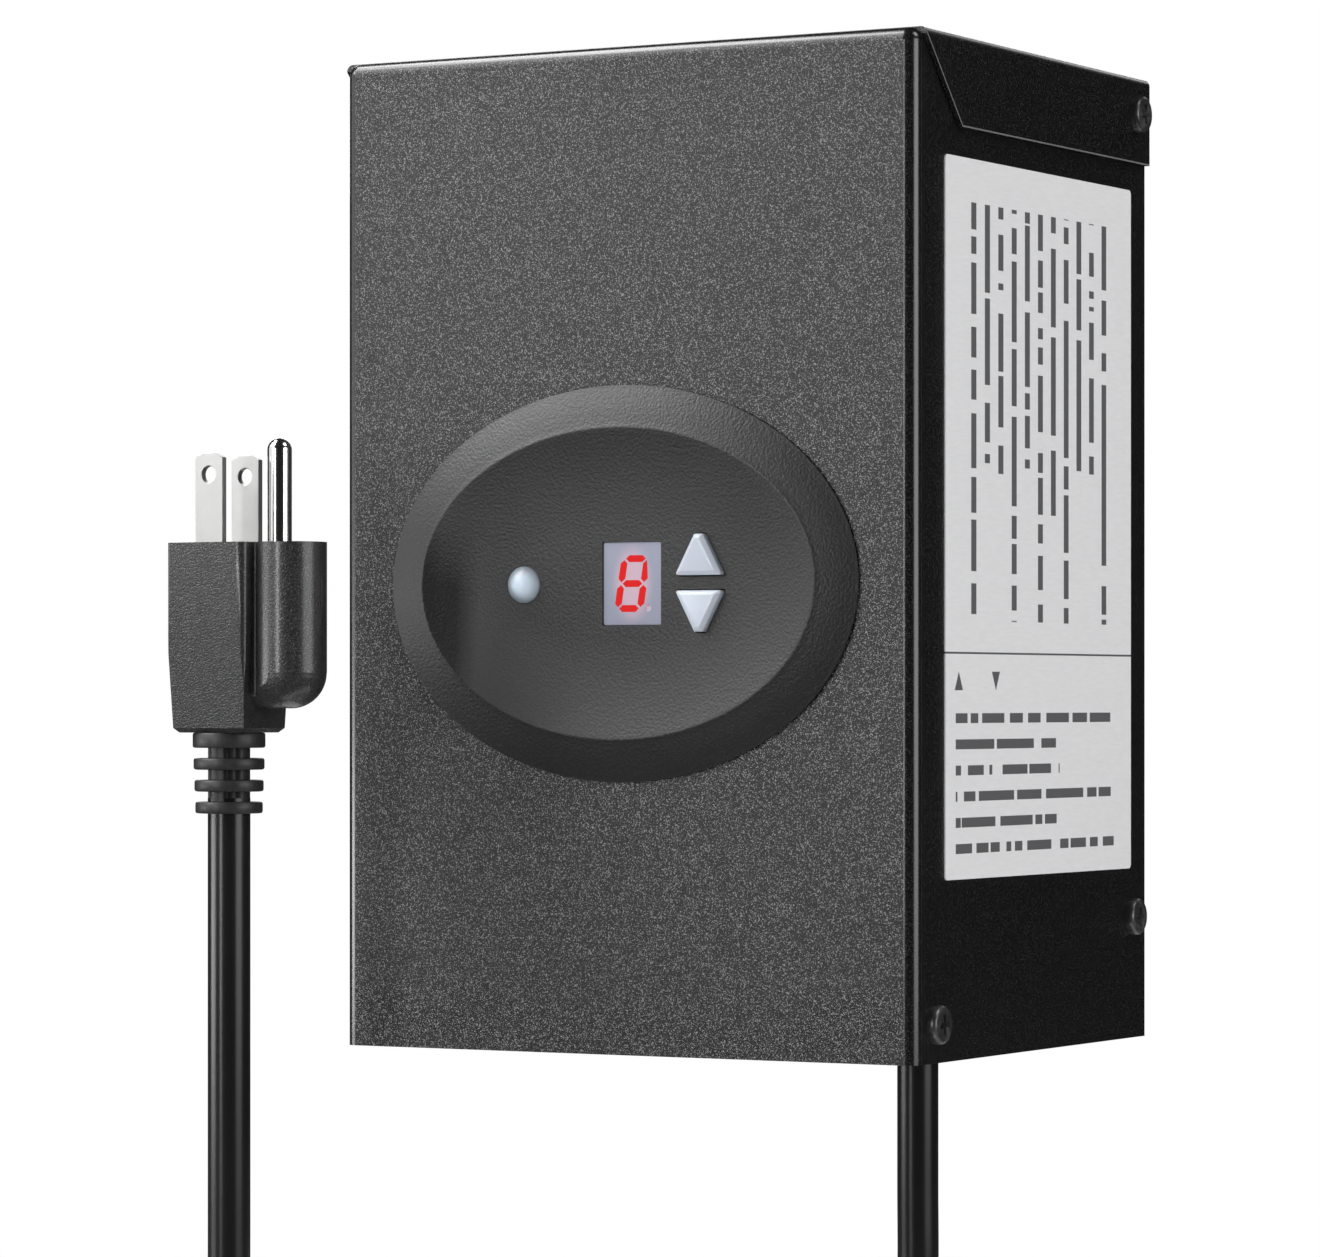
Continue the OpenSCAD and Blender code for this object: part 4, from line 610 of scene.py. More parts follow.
class TRANSFORMER_OT_cord(Operator):
    """Makes the cord as one tube from the gland through the coil to the plug, and its tie"""

    bl_idname = "transformer.cord"
    bl_label = "Cord"

    def execute(self, context):
        settings = context.scene.transformer_cord
        inside = [0, 0, 3 * MM]
        route = np.vstack([LEAD[0] + inside, LEAD, coil_path(), RISE, RISE[-1] + inside])
        path = smooth_path(route, 2.4 * MM)
        # The tube's side is Y down the lead, Z round the coil and X up to the plug
        along = np.linspace(0, 1, len(path))
        coiled, rising = part_way(along, 0.075, 0.085), part_way(along, 0.89, 0.905)
        side = np.column_stack([rising, (1 - coiled) * (1 - rising), coiled * (1 - rising)])
        cord = solid("cord", tube(path, settings.diameter / 2, side, 24), 60)
        jacket = jacket_finish(settings.jacket)
        stand_for(cord, jacket, "cord_jacket", "power_cord", "cord_coil", "plug_lead")
        tie = refined("coil_tie", 0.3 * MM)
        stand_for(tie, rubbery("tie strap", (0.02, 0.02, 0.021), 0.5), "cord_jacket", "coil_tie")
        return {"FINISHED"}


# The lamps: size in metres, azimuth from the front and height in degrees, and distance in metres
LAMPS = (
    ("key", (1.2, 1.0), -50, 40, 1.9),
    ("low", (0.9, 0.13), -60, -3.8, 1.7),
    ("front", (0.2, 0.62), -13, 2.5, 1.8),
    ("right", (1.0, 1.1), 86, 0, 1.6),
    ("label", (0.6, 0.6), 100, 48, 1.5),
    ("top", (0.7, 0.25), -72, 61, 1.4),
    ("near", (0.16, 0.16), -31, 15, 0.62),
    ("rear", (0.6, 0.3), 172, 27, 1.5),
    ("back", (1.1, 0.9), -148, 22, 1.8),
)
# The curtain's window: from and to in degrees from the front, and its sill and top above the floor
WINDOW = (-82, -34, 0.20, 1.6)
CURTAIN_RADIUS = 3
CURTAIN_COLUMNS = 90


def add_lamp(name, power, size, azimuth, height, distance):
    """An area lamp that faces the middle. Azimuth 0 is in front, 90 to the right."""
    data = bpy.data.lights.new(name, "AREA")
    data.shape = "RECTANGLE"
    data.size, data.size_y = size
    data.energy = power
    turn, lift = math.radians(azimuth), math.radians(height)
    away = Vector((math.sin(turn) * math.cos(lift), -math.cos(turn) * math.cos(lift), math.sin(lift)))
    lamp = new_object(name, data)
    lamp.location = Vector(MIDDLE) + away * distance
    lamp.rotation_euler = away.to_track_quat("Z", "Y").to_euler()


def seen(f):
    """1 for the rays that show the surroundings: from the camera, off gloss and through glass."""
    camera, glossy, through = [f.node("LightPath", out="Is " + kind + " Ray")
                               for kind in ("Camera", "Glossy", "Transmission")]
    return camera.most(glossy).most(through)


def add_world(ambient):
    """White where it is seen, and dim where it lights the object."""
    world = bpy.data.worlds.new("surroundings")
    bpy.context.scene.world = world
    f = Finish(world)
    white = f.node("Background", None, {"Color": (1, 1, 1)})
    dim = f.node("Background", None, {"Color": (1, 1, 1), "Strength": ambient})
    both = f.node("MixShader", None, {0: seen(f), 1: dim, 2: white})
    f.end(both, "OutputWorld")


def add_floor():
    """Rings of the floor's plane: matte near the object, as white as the surroundings far away."""
    radii = (0.02, 0.3, 0.6, 6)
    rings = revolved([(radius, FLOOR_Z) for radius in radii], 96)
    faces = sheet_faces(len(radii), 96).tolist() + [list(range(96))]
    floor = mesh_object("floor", rings.reshape(-1, 3), faces)
    f = finish("pale floor")
    x, y, _ = f.xyz()
    y = y - MIDDLE[1]
    far = ((x * x + y * y) ** 0.5).step(0.30, 0.46)
    matte = f.node("BsdfDiffuse", None, {"Color": (0.86, 0.86, 0.86)})
    glow = f.node("Emission", None, {"Color": (1, 1, 1)})
    both = f.node("MixShader", None, {0: far * seen(f), 1: matte, 2: glow})
    coat(f.end(both), "floor")


def add_curtain():
    """A dark cloth seen only in gloss: a dome over the object, down to the floor and in along it.

    A window at the left of the camera lets the white surroundings show in the front."""
    lift = np.radians(np.arange(88, -1, -4))
    dome = CURTAIN_RADIUS * np.column_stack([np.cos(lift), np.sin(lift)]) + [0, FLOOR_Z]
    hem = FLOOR_Z + 0.002
    profile = np.vstack([[0.01, CURTAIN_RADIUS + FLOOR_Z], dome, [[CURTAIN_RADIUS, hem], [0.2, hem]]])
    points = revolved(profile, CURTAIN_COLUMNS).reshape(-1, 3)
    # The middle of each column of faces. Columns start at the X axis, 90 degrees from the front
    wide = 360 / CURTAIN_COLUMNS
    azimuth = (np.arange(CURTAIN_COLUMNS) * wide + wide / 2 + 90 + 180) % 360 - 180
    faces = sheet_faces(len(profile), CURTAIN_COLUMNS)
    turned = azimuth[faces[:, 0] % CURTAIN_COLUMNS]
    height = points[faces, 2].mean(axis=1) - FLOOR_Z
    left, right, sill, top = WINDOW
    window = (left < turned) & (turned < right) & (sill < height) & (height < top)
    cloth = mesh_object("dark_curtain", points, faces[~window].tolist())
    f = finish("dark cloth")
    weave = f.noise(8 * MM, 1)
    material = f.surface(Base_Color=f.mix(weave, (0.012, 0.012, 0.012), (0.02, 0.02, 0.02)), Roughness=0.9)
    coat(material, "dark_curtain")
    for way in ("camera", "diffuse", "transmission", "volume_scatter", "shadow"):
        setattr(cloth, "visible_" + way, False)


class TRANSFORMER_OT_stage(Operator):
    """Makes the pale floor, the soft lamps, the white surroundings and the dark curtain round the camera"""

    bl_idname = "transformer.stage"
    bl_label = "Stage"

    def execute(self, context):
        settings = context.scene.transformer_stage
        for name, *placed in LAMPS:
            add_lamp(name, getattr(settings, name), *placed)
        add_world(settings.ambient)
        add_floor()
        add_curtain()
        context.scene.view_settings.view_transform = "Standard"
        return {"FINISHED"}


# The screw heads in mm: out from the middle, depth and height, with the turn of the cross in degrees
SCREW_SPOTS = ((66.15, -6, 22.2, 8), (65, -6, -144.8, 0), (65, -98, -162.5, 4))


def screw_head():
    """One head, in mm: a flat top with a round rim, less a cross of two tapered slots."""
    radius, rim, top = 3.85, 0.9, 1.9
    turn = np.linspace(0, np.pi / 2, 8)
    edge = np.column_stack([radius - rim + rim * np.cos(turn), top - 0.05 - rim + rim * np.sin(turn)])
    profile = np.vstack([[[3, -1], [3, 0], [radius, 0]], edge, [[1.6, top], [0.02, top]]]) * MM
    head = solid("head", revolved(profile, 64))
    slots = []
    for name, wide, long in (("bar a", 0.55, 2.15), ("bar b", 2.15, 0.55)):
        mouth = rectangle(wide, long) * MM
        slots.append(solid(name, lofted([0.6 * mouth, 1.1 * mouth], [0.5 * MM, 2.4 * MM])))
    return carve(head, *slots)


def add_screws(shade):
    """The six heads as one piece: each spot gets the head with its axis out of the side."""
    head = screw_head()
    x, y, out = np.array([v.co for v in head.data.vertices]).T
    faces = [list(p.vertices) for p in head.data.polygons]
    bpy.data.objects.remove(head)
    all_points, all_faces = [], []
    for side in (-1, 1):
        for away, deep, high, turn in SCREW_SPOTS:
            cos, sin = math.cos(math.radians(turn)), math.sin(math.radians(turn))
            start = len(all_points) * len(x)
            placed = [side * (away * MM + out), deep * MM + x * cos - y * sin, high * MM + x * sin + y * cos]
            all_points.append(np.column_stack(placed))
            all_faces += [[v + start for v in (f if side > 0 else f[::-1])] for f in faces]
    screws = mesh_object("cover_screw_heads", np.vstack(all_points), all_faces)
    f = finish("blackened steel")
    wear = f.noise(1.6 * MM, 3)
    material = f.surface(
        Base_Color=f.tones(wear.step(0.45, 0.75), shade, 1, 2.6), Metallic=0.75,
        Roughness=0.24 + 0.16 * wear, Normal=f.bump(wear, 0.02 * MM))
    stand_for(screws, material, "black_screws", "cover_screws")


def text_bars(f, line, along, pitch, lines, longest):
    """Plain bars in even lines: each starts at 0, has short gaps, and ends at its own length."""
    number = (line / pitch).floor()
    place = (line / pitch) % 1
    end = longest * (0.62 + 0.38 * f.noise(0.9, 0, f.vector(number * 7.3, 2.1, 0.5)).step(0.35, 0.65))
    gaps = f.noise(2.1, 0, f.vector(along, number * 13.7, 4.4)) < 0.385
    inside = (number > -0.5) * (number < lines - 0.5) * (along > 0) * (along < end)
    return inside * (abs(place - 0.5) < 0.19) * (1 - gaps)


def coat_label(settings):
    """Satin foil with a dividing rule, plain bars in even lines and two plain triangles."""
    f = finish("side plate")
    _, y, z = f.xyz()
    y, z = (y - LABEL_Y) / MM, (z - LABEL_Z) / MM
    brushed = f.noise(0.3 * MM, 2, f.stretched(1, 0.15, 1))
    rule = abs(z + 26.3) < 0.2
    # The upper field's lines run down the plate, and the lower field's across it
    upper = text_bars(f, y + 34, 62 - z, 6.1, 11, 82)
    lower = text_bars(f, -36.5 - z, y + 39, 5.1, 6, 74)
    low, high = -33.6, -29.9
    up = (abs(y + 37.6) < 0.5 * (high - z)) * (z > low) * (z < high)
    down = (abs(y + 21) < 0.5 * (z - low)) * (z > low) * (z < high)
    ink = rule.most(upper).most(lower).most(up).most(down)
    base = f.tones(brushed, settings.foil, 0.93, 1.05)
    material = f.surface(
        Base_Color=f.mix(ink * 0.9, base, settings.ink), Metallic=0.12 - 0.12 * ink,
        Roughness=0.45 + 0.08 * brushed - 0.1 * ink)
    coat(material, "side_label")


class TRANSFORMER_OT_housing(Operator):
    """Finishes the folded cover, the chassis plates and their screws and rivets"""

    bl_idname = "transformer.housing"
    bl_label = "Housing"

    def execute(self, context):
        settings = context.scene.transformer_housing
        cover = refined("front_cover", settings.edge, 2, 25)
        paint = powder_coat("powder coat", settings.paint, settings.speckle, settings.grain,
                            settings.painted_rim_highlight, settings.rim)
        stand_for(cover, paint, "cover_paint", "front_cover")
        coat(powder_coat("chassis coat", settings.chassis, toned(settings.chassis, 2.4), settings.grain),
             "back_plate", "bottom_plate")
        add_screws(settings.screw)
        coat(metal("zinc plating", (0.55, 0.55, 0.53), 0.36), "chassis_rivets")
        coat_label(settings)
        return {"FINISHED"}


def bezel_profile(s):
    """Inset and height: the lip over its groove, the ring with a slight swell, the brow and the dish.

    The dish falls as a parabola from the brow to its floor."""
    top, crest = s.ring / MM, s.crest / MM
    lip = [[0.7, 0.0], [0.7, 0.38], [0.0, 0.42], [0.0, 0.5], [0.05, 0.58], [0.14, 0.62], [0.26, 0.64]]
    slope = np.linspace(0, 1, 12)[1:]
    swell = 0.1 * np.sin(np.pi * slope)
    ring = np.column_stack([0.26 + (top - 1.0) * slope, 0.64 + (crest - 0.86) * slope + swell])
    brow = [[top - 0.42, crest - 0.1], [top - 0.12, crest - 0.02], [top + 0.12, crest - 0.02]]
    run = np.linspace(0.04, 1, 26)
    fall = s.dish / MM + (s.crest - s.dish) / MM * (1 - run) ** 2
    bowl = np.column_stack([top + s.run / MM * run, fall])
    return np.vstack([[[12.1, -1.0], [12.1, 0.0]], lip, ring, brow, bowl]) * MM


def openings():
    """Cutters for the window, the dome and the two keys."""
    through = [-2 * MM, 4 * MM]
    window = rectangle(6.65 * MM, 8.25 * MM)
    hole = revolved([(3.8 * MM, height) for height in through])
    cutters = [solid("window cut", on_panel(lofted([window, window], through), x=DISPLAY_X)),
               solid("dome cut", on_panel(hole, x=DOME_X))]
    for way in (1, -1):
        outline = round_outline(arrow_outline(0.25 * MM), 0.35 * MM, 4)
        cutters.append(solid("key cut", on_arrow(lofted([outline, outline], through), way)))
    return cutters


class TRANSFORMER_OT_bezel(Operator):
    """Makes the oval bezel: a sloping ring round a shallow dish with its openings"""

    bl_idname = "transformer.bezel"
    bl_label = "Bezel"

    def execute(self, context):
        s = context.scene.transformer_panel
        inset, height = bezel_profile(s).T
        angle = ring_angles(320)
        rings = ringed(np.outer(s.half_width - inset, np.cos(angle)),
                       np.outer(s.half_height - inset, np.sin(angle)), height)
        bezel = solid("fine_bezel", on_panel(rings), 40)
        carve(bezel, *openings())
        plastic = moulded("bezel plastic", s.bezel, 0.38, 0.26 * MM, 0.11 * MM, 0.5)
        stand_for(bezel, plastic, "bezel_plastic", "bezel")
        coat(rubbery("gasket foam", (0.02, 0.02, 0.02), 0.8), "bezel_gasket")
        return {"FINISHED"}


def arrow_outline(grow):
    """The key's trapezoid, base on Y = 0, with its edges moved out by grow."""
    base, tip, tall = 5.25 * MM, 0.95 * MM, 8.1 * MM
    lean = (base - tip) / tall
    out = grow * math.sqrt(1 + lean * lean)
    low, high = base + lean * grow + out, tip - lean * grow + out
    return np.array([[-low, -grow], [low, -grow], [high, tall + grow], [-high, tall + grow]])


def on_arrow(points, way):
    """Places a key: way 1 points up above the middle, way -1 is turned over below it."""
    return on_panel(points * [way, way, 1], x=ARROW_X, y=way * 1.5 * MM)


# A key from its root to its face, in mm: how far its outline moves out, and its height
KEY_LEVELS = ((0.0, -1.9), (0.0, 2.15), (-0.10, 2.3), (-0.74, 2.84), (-0.86, 2.9))


def key_plastic(shade):
    """Pale plastic, with painted shade low on the key's sides, deep in its opening."""
    f = finish("key plastic")
    _, y, _ = f.xyz()
    fine = f.noise(0.5 * MM, 2)
    # Painted shade: darker towards the key's root in the opening
    deep = ((y - FRONT_Y) / MM).step(-2.9, -1.2)
    return f.surface(
        Base_Color=f.tones(deep * 0.55, shade, 1, 0.62), Roughness=0.3 + 0.06 * fine,
        Coat_Weight=0.25, Subsurface_Weight=0.25, Subsurface_Scale=0.002,
        Normal=f.bump(fine, 0.006 * MM))


class TRANSFORMER_OT_keys(Operator):
    """Makes the two arrow keys, each a truncated pyramid with rounded edges on its own body"""

    bl_idname = "transformer.keys"
    bl_label = "Arrow keys"

    def execute(self, context):
        material = key_plastic(context.scene.transformer_panel.key)
        outlines = [round_outline(arrow_outline(grow * MM), (0.42 + 0.1 * grow) * MM, 5)
                    for grow, _ in KEY_LEVELS]
        rings = lofted(outlines, [height * MM for _, height in KEY_LEVELS])
        for name, way in (("up_button", 1), ("down_button", -1)):
            key = solid("fine_" + name, on_arrow(rings, way), 24)
            stand_for(key, material, "key_plastic", name, body=NODES[name]["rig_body"])
        coat(moulded("switch plunger", (0.03, 0.03, 0.032)), "up_plunger", "down_plunger")
        coat(metal("switch shell", (0.6, 0.6, 0.6)), "tact_switches")
        return {"FINISHED"}


def display_face(shade):
    """The display's face with painted light: lighter upwards, a painted pink glow in an oval round the
    digit, and a faint glow of its own.
    """
    f = finish("display face")
    x, _, z = f.xyz()
    x, z = (x - DISPLAY_X) / MM, (z - BEZEL_Z) / MM
    # Painted light: the digit's pink glow spread on the face
    glow = 1 - (((x / 3.7) ** 2.0 + (z / 6.4) ** 2.0) ** 0.5).step(0.55, 1.4)
    cloud = f.noise(3 * MM, 1)
    # Painted light: lighter upwards
    base = f.tones((z + 8) / 20 + 0.15 * cloud, shade, 1, 1.25)
    base = f.mix(glow * 0.5, base, (0.60, 0.34, 0.40))
    # Painted light: the face glows a little though it is no lamp
    return f.surface(
        Base_Color=base, Roughness=0.35, Emission_Color=base, Emission_Strength=0.25,
        Normal=f.bump(cloud, 0.01 * MM))


def lit_segments(shade):
    """The lit bars of the digit, and its dot, which is dark."""
    f = finish("lit segments")
    x, _, z = f.xyz()
    spark = f.noise(0.6 * MM, 2)
    dark = (x > 6.1 * MM) * (z < BEZEL_Z - 4.4 * MM)
    base = f.mix(dark, f.tones(spark, shade, 1, 1.1), (0.33, 0.30, 0.37))
    return f.surface(
        Base_Color=base, Roughness=0.6, Specular_IOR_Level=0.15, Emission_Color=base,
        Emission_Strength=0.25)


def digit_bars(window):
    """The digit's bars reach through the window to its face, 12 % wider and a little more slanted."""
    bars = refined("display_segments")
    points = bars.data.vertices
    face = min(v.co.y for v in window.data.vertices)
    middle = sum(v.co.y for v in points) / len(points)
    for v in points:
        if v.co.y < middle:
            v.co.y = face - 0.02 * MM
        # The dot, which stands further right, stays as it is
        if v.co.x < 6 * MM:
            v.co.x += 0.12 * (v.co.x - DISPLAY_X) + 0.05 * (v.co.z - BEZEL_Z)
    return bars


def add_dome(shade):
    """The dome, in mm: a spherical cap on a short wall over its flange, z = 1 + cap(r)."""
    radius, rise, wall = 3.7, 2.1, 1.0
    reach = radius * np.linspace(1, 0.01, 20)
    ball = (radius**2 + rise**2) / (2 * rise)
    cap = np.column_stack([reach, wall + rise - ball + np.sqrt(ball**2 - reach**2)])
    profile = np.vstack([[[4.7, -1.9], [4.7, -1.0], [radius, -1.0]], cap]) * MM
    dome = solid("fine_sensor_dome", on_panel(revolved(profile, 72), x=DOME_X), 50)
    f = finish("dome plastic")
    x, _, z = f.xyz()
    # Painted highlight 0.8 mm right of its middle, with painted shade darker towards the rim
    x, z = (x - DOME_X) / MM - 0.8, (z - BEZEL_Z) / MM
    off = (x ** 2.0 + z ** 2.0) ** 0.5
    cloud = f.noise(1.2 * MM, 2)
    material = f.surface(
        Base_Color=f.tones(off.step(1.2, 3.7), shade, 1.7, 0.55), Roughness=0.26 + 0.1 * cloud,
        Specular_IOR_Level=0.4, Coat_Weight=0.15, Subsurface_Weight=0.3, Subsurface_Scale=0.003)
    stand_for(dome, material, "lens_plastic", "sensor_dome")


class TRANSFORMER_OT_display(Operator):
    """Finishes the one digit display and makes the light sensor's dome"""

    bl_idname = "transformer.display"
    bl_label = "Display and sensor"

    def execute(self, context):
        s = context.scene.transformer_panel
        face = display_face(s.window)
        coat(face, "display_module")
        window = refined("display_lens")
        bars = digit_bars(window)
        stand_for(window, face, "lens_plastic", "display_lens")
        stand_for(bars, lit_segments(s.digit), "segment_light", "display_segments")
        add_dome(s.dome)
        return {"FINISHED"}


# Places in mm: the boot's foot, the round pin where it leaves the plug, and the gland's low end
PLUG_PLACE = np.array([-65, -149, -122])
PIN_PLACE = np.array([-53.1, -149, -68.8])
GLAND_PLACE = np.array([37, -50, -166])


def grained(shade, size):
    """Leather grain: bent cells with raised middles and creases between them, over a fine tooth; the creases
    have painted shade.
    """
    f = finish("grained moulding")
    bend = f.noise(1.4 * MM, 2) - 0.5
    shift = f.vector(bend * 1.6 * MM, bend * -1.3 * MM, bend * 1.5 * MM)
    place = f.node("VectorMath", {"operation": "ADD"}, {0: f.place(), 1: shift})
    crease_with_painted_shade = f.creases(size, place).step(0.0, 0.26)
    tooth = f.noise(0.2 * MM, 2)
    return f.surface(
        Base_Color=f.tones(crease_with_painted_shade, shade, 0.5, 1.2), Roughness=0.34 + 0.1 * tooth - 0.06 * crease_with_painted_shade,
        Coat_Weight=0.9, Coat_Roughness=0.24, Normal=f.bump(crease_with_painted_shade * 0.6 + tooth * 0.4, 0.10 * MM))


def plug_boot():
    """The boot, in mm: three rings and a collar with rounded edges, and a core between them.

    The core's radius is 4.3 mm on its four ribs and 2.9 mm in the slots."""
    angle = ring_angles(96)
    core = 2.9 + 1.4 * np.clip((np.abs(np.cos(2 * angle)) - 0.6) / 0.15, 0, 1)
    rows = []
    for number in range(3):
        low, wide = 4.3 * number, 7.15 - 0.35 * (3 - number) / 2
        for inset, high in ((0.5, 0.0), (0.15, 0.1), (0, 0.4), (0, 1.9), (0.15, 2.2), (0.5, 2.3)):
            rows.append((np.full(96, wide - inset), low + high))
        rows += [(core, low + 2.3), (core, low + 4.3)]
    for inset, high in ((0.5, 0.0), (0.12, 0.08), (0, 0.4), (0, 2.6), (0.15, 2.92), (0.6, 3.0)):
        rows.append((np.full(96, 7.15 - inset), 12.9 + high))
    radius, height = map(np.array, zip(*rows))
    rings = ringed(radius * np.cos(angle), radius * np.sin(angle), height)
    return solid("fine_plug_boot", (rings + PLUG_PLACE) * MM, 40)


def ground_pin():
    """The pin, in mm: a cylinder with a round end, on its thicker root."""
    radius, long = 2.4, 20.5
    turn = np.linspace(0, 1, 12)[:-1] * np.pi / 2
    tip = np.column_stack([radius * np.cos(turn), long - radius + radius * np.sin(turn)])
    profile = np.vstack([[[2.9, -6], [2.9, -0.1], [radius, 0]], tip, [[0.02, long]]])
    return solid("fine_ground_pin", (revolved(profile) + PIN_PLACE) * MM, 50)


class TRANSFORMER_OT_plug(Operator):
    """Makes the grained plug, its ribbed boot, the blades and the round pin"""

    bl_idname = "transformer.plug"
    bl_label = "Plug"

    def execute(self, context):
        settings = context.scene.transformer_cord
        grain = grained(settings.moulding, settings.grain)
        body = refined("plug_body", 0.45 * MM, 3, 32)
        stand_for(body, grain, "plug_moulding", "plug_body")
        rubber = moulded("boot moulding", settings.moulding, 0.42, 0.4 * MM, 0.03 * MM, 0.5)
        stand_for(plug_boot(), rubber, "plug_moulding", "plug_boot")
        blades = refined("plug_blades", 0.16 * MM, 2, 30)
        brushed = metal("brushed nickel", toned(settings.contact, 0.7), 0.38, (1, 1, 0.06))
        stand_for(blades, brushed, "plated_contacts", "plug_blades")
        polished = metal("polished nickel", settings.contact, 0.15, (1, 1, 0.05), 0.02)
        stand_for(ground_pin(), polished, "plated_contacts", "ground_pin")
        return {"FINISHED"}


def cable_gland():
    """The gland, in mm: a cone from 5.4 to 7.5 mm with round ribs, under its flange."""
    tall = 17
    climb = np.linspace(0, tall, 69)
    cone = 5.4 + 2.1 * climb / tall + 0.28 * np.abs(np.sin(np.pi * climb / 2.4)) ** 0.6
    flange = [[10.2, tall], [10.5, 17.3], [10.5, 20.0], [7.5, 20.0], [7.5, 32.0]]
    profile = np.vstack([[[4.3, 0.0]], np.column_stack([cone, climb]), flange])
    return solid("fine_cable_gland", (revolved(profile, 72) + GLAND_PLACE) * MM, 50)


class TRANSFORMER_OT_terminals(Operator):
    """Finishes the wiring bay: terminal block, brass straps, screws, and the cable gland"""

    bl_idname = "transformer.terminals"
    bl_label = "Terminals and gland"

    def execute(self, context):
        block = refined("terminal_block", 0.25 * MM)
        stand_for(block, moulded("terminal moulding", (0.028, 0.028, 0.03), 0.38, 0.5 * MM),
                  "black_plastic", "terminal_block")
        coat(metal("bright brass", (0.72, 0.53, 0.21), 0.26, (0.1, 1, 1)), "terminal_plates", "ground_lug")
        coat(metal("zinc screws", (0.62, 0.62, 0.6), 0.3), "terminal_screws", "block_screws")
        coat(metal("green dyed steel", (0.08, 0.42, 0.13), 0.32), "ground_screw")
        stand_for(cable_gland(), moulded("gland nylon", (0.02, 0.02, 0.021), 0.4, 0.5 * MM),
                  "black_plastic", "cable_gland")
        coat(moulded("nut nylon", (0.022, 0.022, 0.023), 0.45), "gland_nut")
        return {"FINISHED"}


# What finishes each kind of plain part, with its name, colour and roughness, and the CAD nodes
PLAIN_PARTS = (
    (metal, "plated steel", (0.55, 0.55, 0.54), 0.34, "core_spacers", "core_studs", "core_nuts",
     "breaker_rivets", "housing_screws", "board_screws"),
    (moulded, "cream nylon", (0.72, 0.67, 0.55), 0.45, "bobbin", "wire_header"),
    (moulded, "breaker moulding", (0.03, 0.03, 0.032), 0.4, "thermal_breaker", "module_housing"),
    (moulded, "chip moulding", (0.018, 0.018, 0.019), 0.5, "microcontroller"),
    (moulded, "relay moulding", (0.03, 0.11, 0.38), 0.3, "relay"),
    (moulded, "capacitor sleeve", (0.04, 0.035, 0.12), 0.25, "filter_capacitor"),
    (moulded, "sensor ceramic", (0.5, 0.29, 0.14), 0.6, "photocell"),
    (moulded, "orange nylon", (0.80, 0.30, 0.03), 0.4, "wire_nuts"),
)
WIRES = (
    ("line_wire", (0.018, 0.018, 0.019)), ("neutral_wire", (0.74, 0.74, 0.72)),
    ("ground_wire", (0.03, 0.28, 0.07)), ("primary_leads", (0.18, 0.08, 0.035)),
    ("secondary_leads", (0.48, 0.035, 0.025)), ("control_wires", (0.78, 0.32, 0.04)),
)


def laminated():
    """Core plates: a wave of half a millimetre along the stack, with patches of varnish and rust."""
    f = finish("varnished laminations")
    _, y, _ = f.xyz()
    plates = y.wave(0.5 * MM)
    patch = f.noise(7 * MM, 3)
    base = f.mix(patch.step(0.5, 0.75), (0.20, 0.20, 0.21), (0.13, 0.075, 0.045))
    return f.surface(
        Base_Color=base, Metallic=0.6, Roughness=0.42 + 0.2 * patch, Normal=f.bump(plates, 0.08 * MM))


def wound(name, shade, wire):
    """Layers of wire round the limb: rounded ridges one wire apart up the limb, with painted shade between
    the wires.
    """
    f = finish(name)
    _, _, z = f.xyz()
    ridge_with_painted_shade = z.wave(wire)
    cloud = f.noise(5 * MM, 2)
    return f.surface(
        Base_Color=f.tones(ridge_with_painted_shade, shade, 0.45, 1), Metallic=0.7, Roughness=0.3 + 0.15 * cloud,
        Normal=f.bump(ridge_with_painted_shade, 0.25 * wire))


def solder_mask():
    """Green solder mask with lighter tracks that run in two directions on a tenth of an inch."""
    f = finish("solder mask")
    x, _, z = f.xyz()
    tracks = abs(x.wave(2.54 * MM) - 0.5).step(0.42, 0.47) * f.noise(6 * MM, 0).step(0.5, 0.52)
    cross = abs(z.wave(2.54 * MM) - 0.5).step(0.42, 0.47) * f.noise(8 * MM, 0).step(0.52, 0.54)
    lines = tracks.most(cross)
    base = f.mix(lines, (0.02, 0.13, 0.05), (0.05, 0.27, 0.11))
    return f.surface(Base_Color=base, Roughness=0.32, Coat_Weight=0.3, Normal=f.bump(lines, 0.03 * MM))


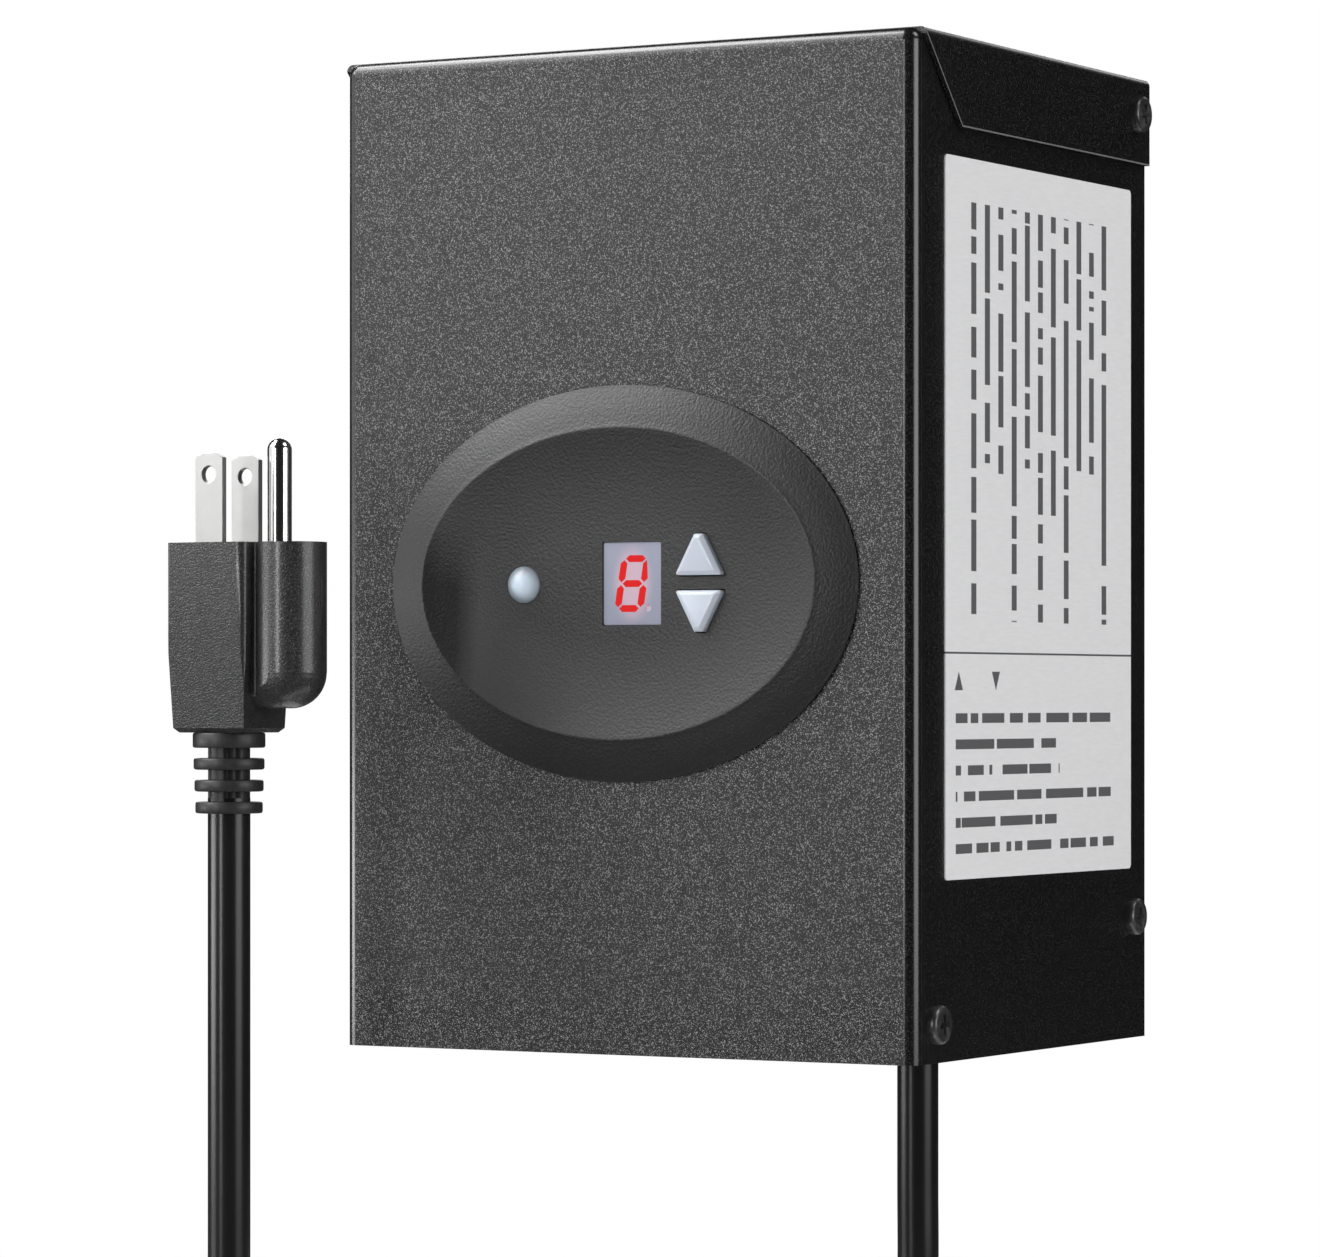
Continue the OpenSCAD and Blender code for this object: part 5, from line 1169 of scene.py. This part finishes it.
class TRANSFORMER_OT_works(Operator):
    """Finishes the core, windings, wires and control board inside the box"""

    bl_idname = "transformer.works"
    bl_label = "Inner works"

    def execute(self, context):
        coat(laminated(), "core_e_stack", "core_i_stack")
        coat(wound("heavy winding", (0.58, 0.24, 0.09), 1.6 * MM), "secondary_winding")
        coat(wound("fine winding", (0.50, 0.19, 0.06), 0.6 * MM), "primary_winding")
        coat(solder_mask(), "control_board")
        for kind, name, shade, rough, *nodes in PLAIN_PARTS:
            coat(kind(name, shade, rough), *nodes)
        coat(moulded("polyester tape", (0.74, 0.60, 0.14), 0.25, 2 * MM), "winding_tape")
        for node, shade in WIRES:
            coat(rubbery(node + " insulation", shade), node)
        return {"FINISHED"}


class TRANSFORMER_PT_panel(Panel):
    """Lists the steps that dress the transformer, and their settings"""

    bl_idname = "TRANSFORMER_PT_panel"
    bl_label = "Landscape transformer"
    bl_space_type = "VIEW_3D"
    bl_region_type = "UI"
    bl_category = "Transformer"

    def draw(self, context):
        for operator in OPERATORS:
            self.layout.operator(operator.bl_idname)
        for name, group in SETTINGS.items():
            box = self.layout.box()
            for setting in group.__annotations__:
                box.prop(getattr(context.scene, name), setting)


OPERATORS = (
    TRANSFORMER_OT_camera, TRANSFORMER_OT_plug, TRANSFORMER_OT_cord, TRANSFORMER_OT_stage,
    TRANSFORMER_OT_housing, TRANSFORMER_OT_bezel, TRANSFORMER_OT_keys, TRANSFORMER_OT_display,
    TRANSFORMER_OT_terminals, TRANSFORMER_OT_works,
)
SETTINGS = {
    "transformer_housing": HousingSettings, "transformer_panel": PanelSettings,
    "transformer_cord": CordSettings, "transformer_stage": StageSettings,
}
CLASSES = (*SETTINGS.values(), *OPERATORS, TRANSFORMER_PT_panel)


def register():
    for kind in CLASSES:
        bpy.utils.register_class(kind)
    for name, group in SETTINGS.items():
        setattr(bpy.types.Scene, name, PointerProperty(type=group))


def unregister():
    for name in SETTINGS:
        delattr(bpy.types.Scene, name)
    for kind in CLASSES:
        bpy.utils.unregister_class(kind)


def main():
    """Runs each operator in turn."""
    register()
    for operator in OPERATORS:
        family, step = operator.bl_idname.split(".")
        getattr(getattr(bpy.ops, family), step)()


if __name__ == "__main__":
    main()
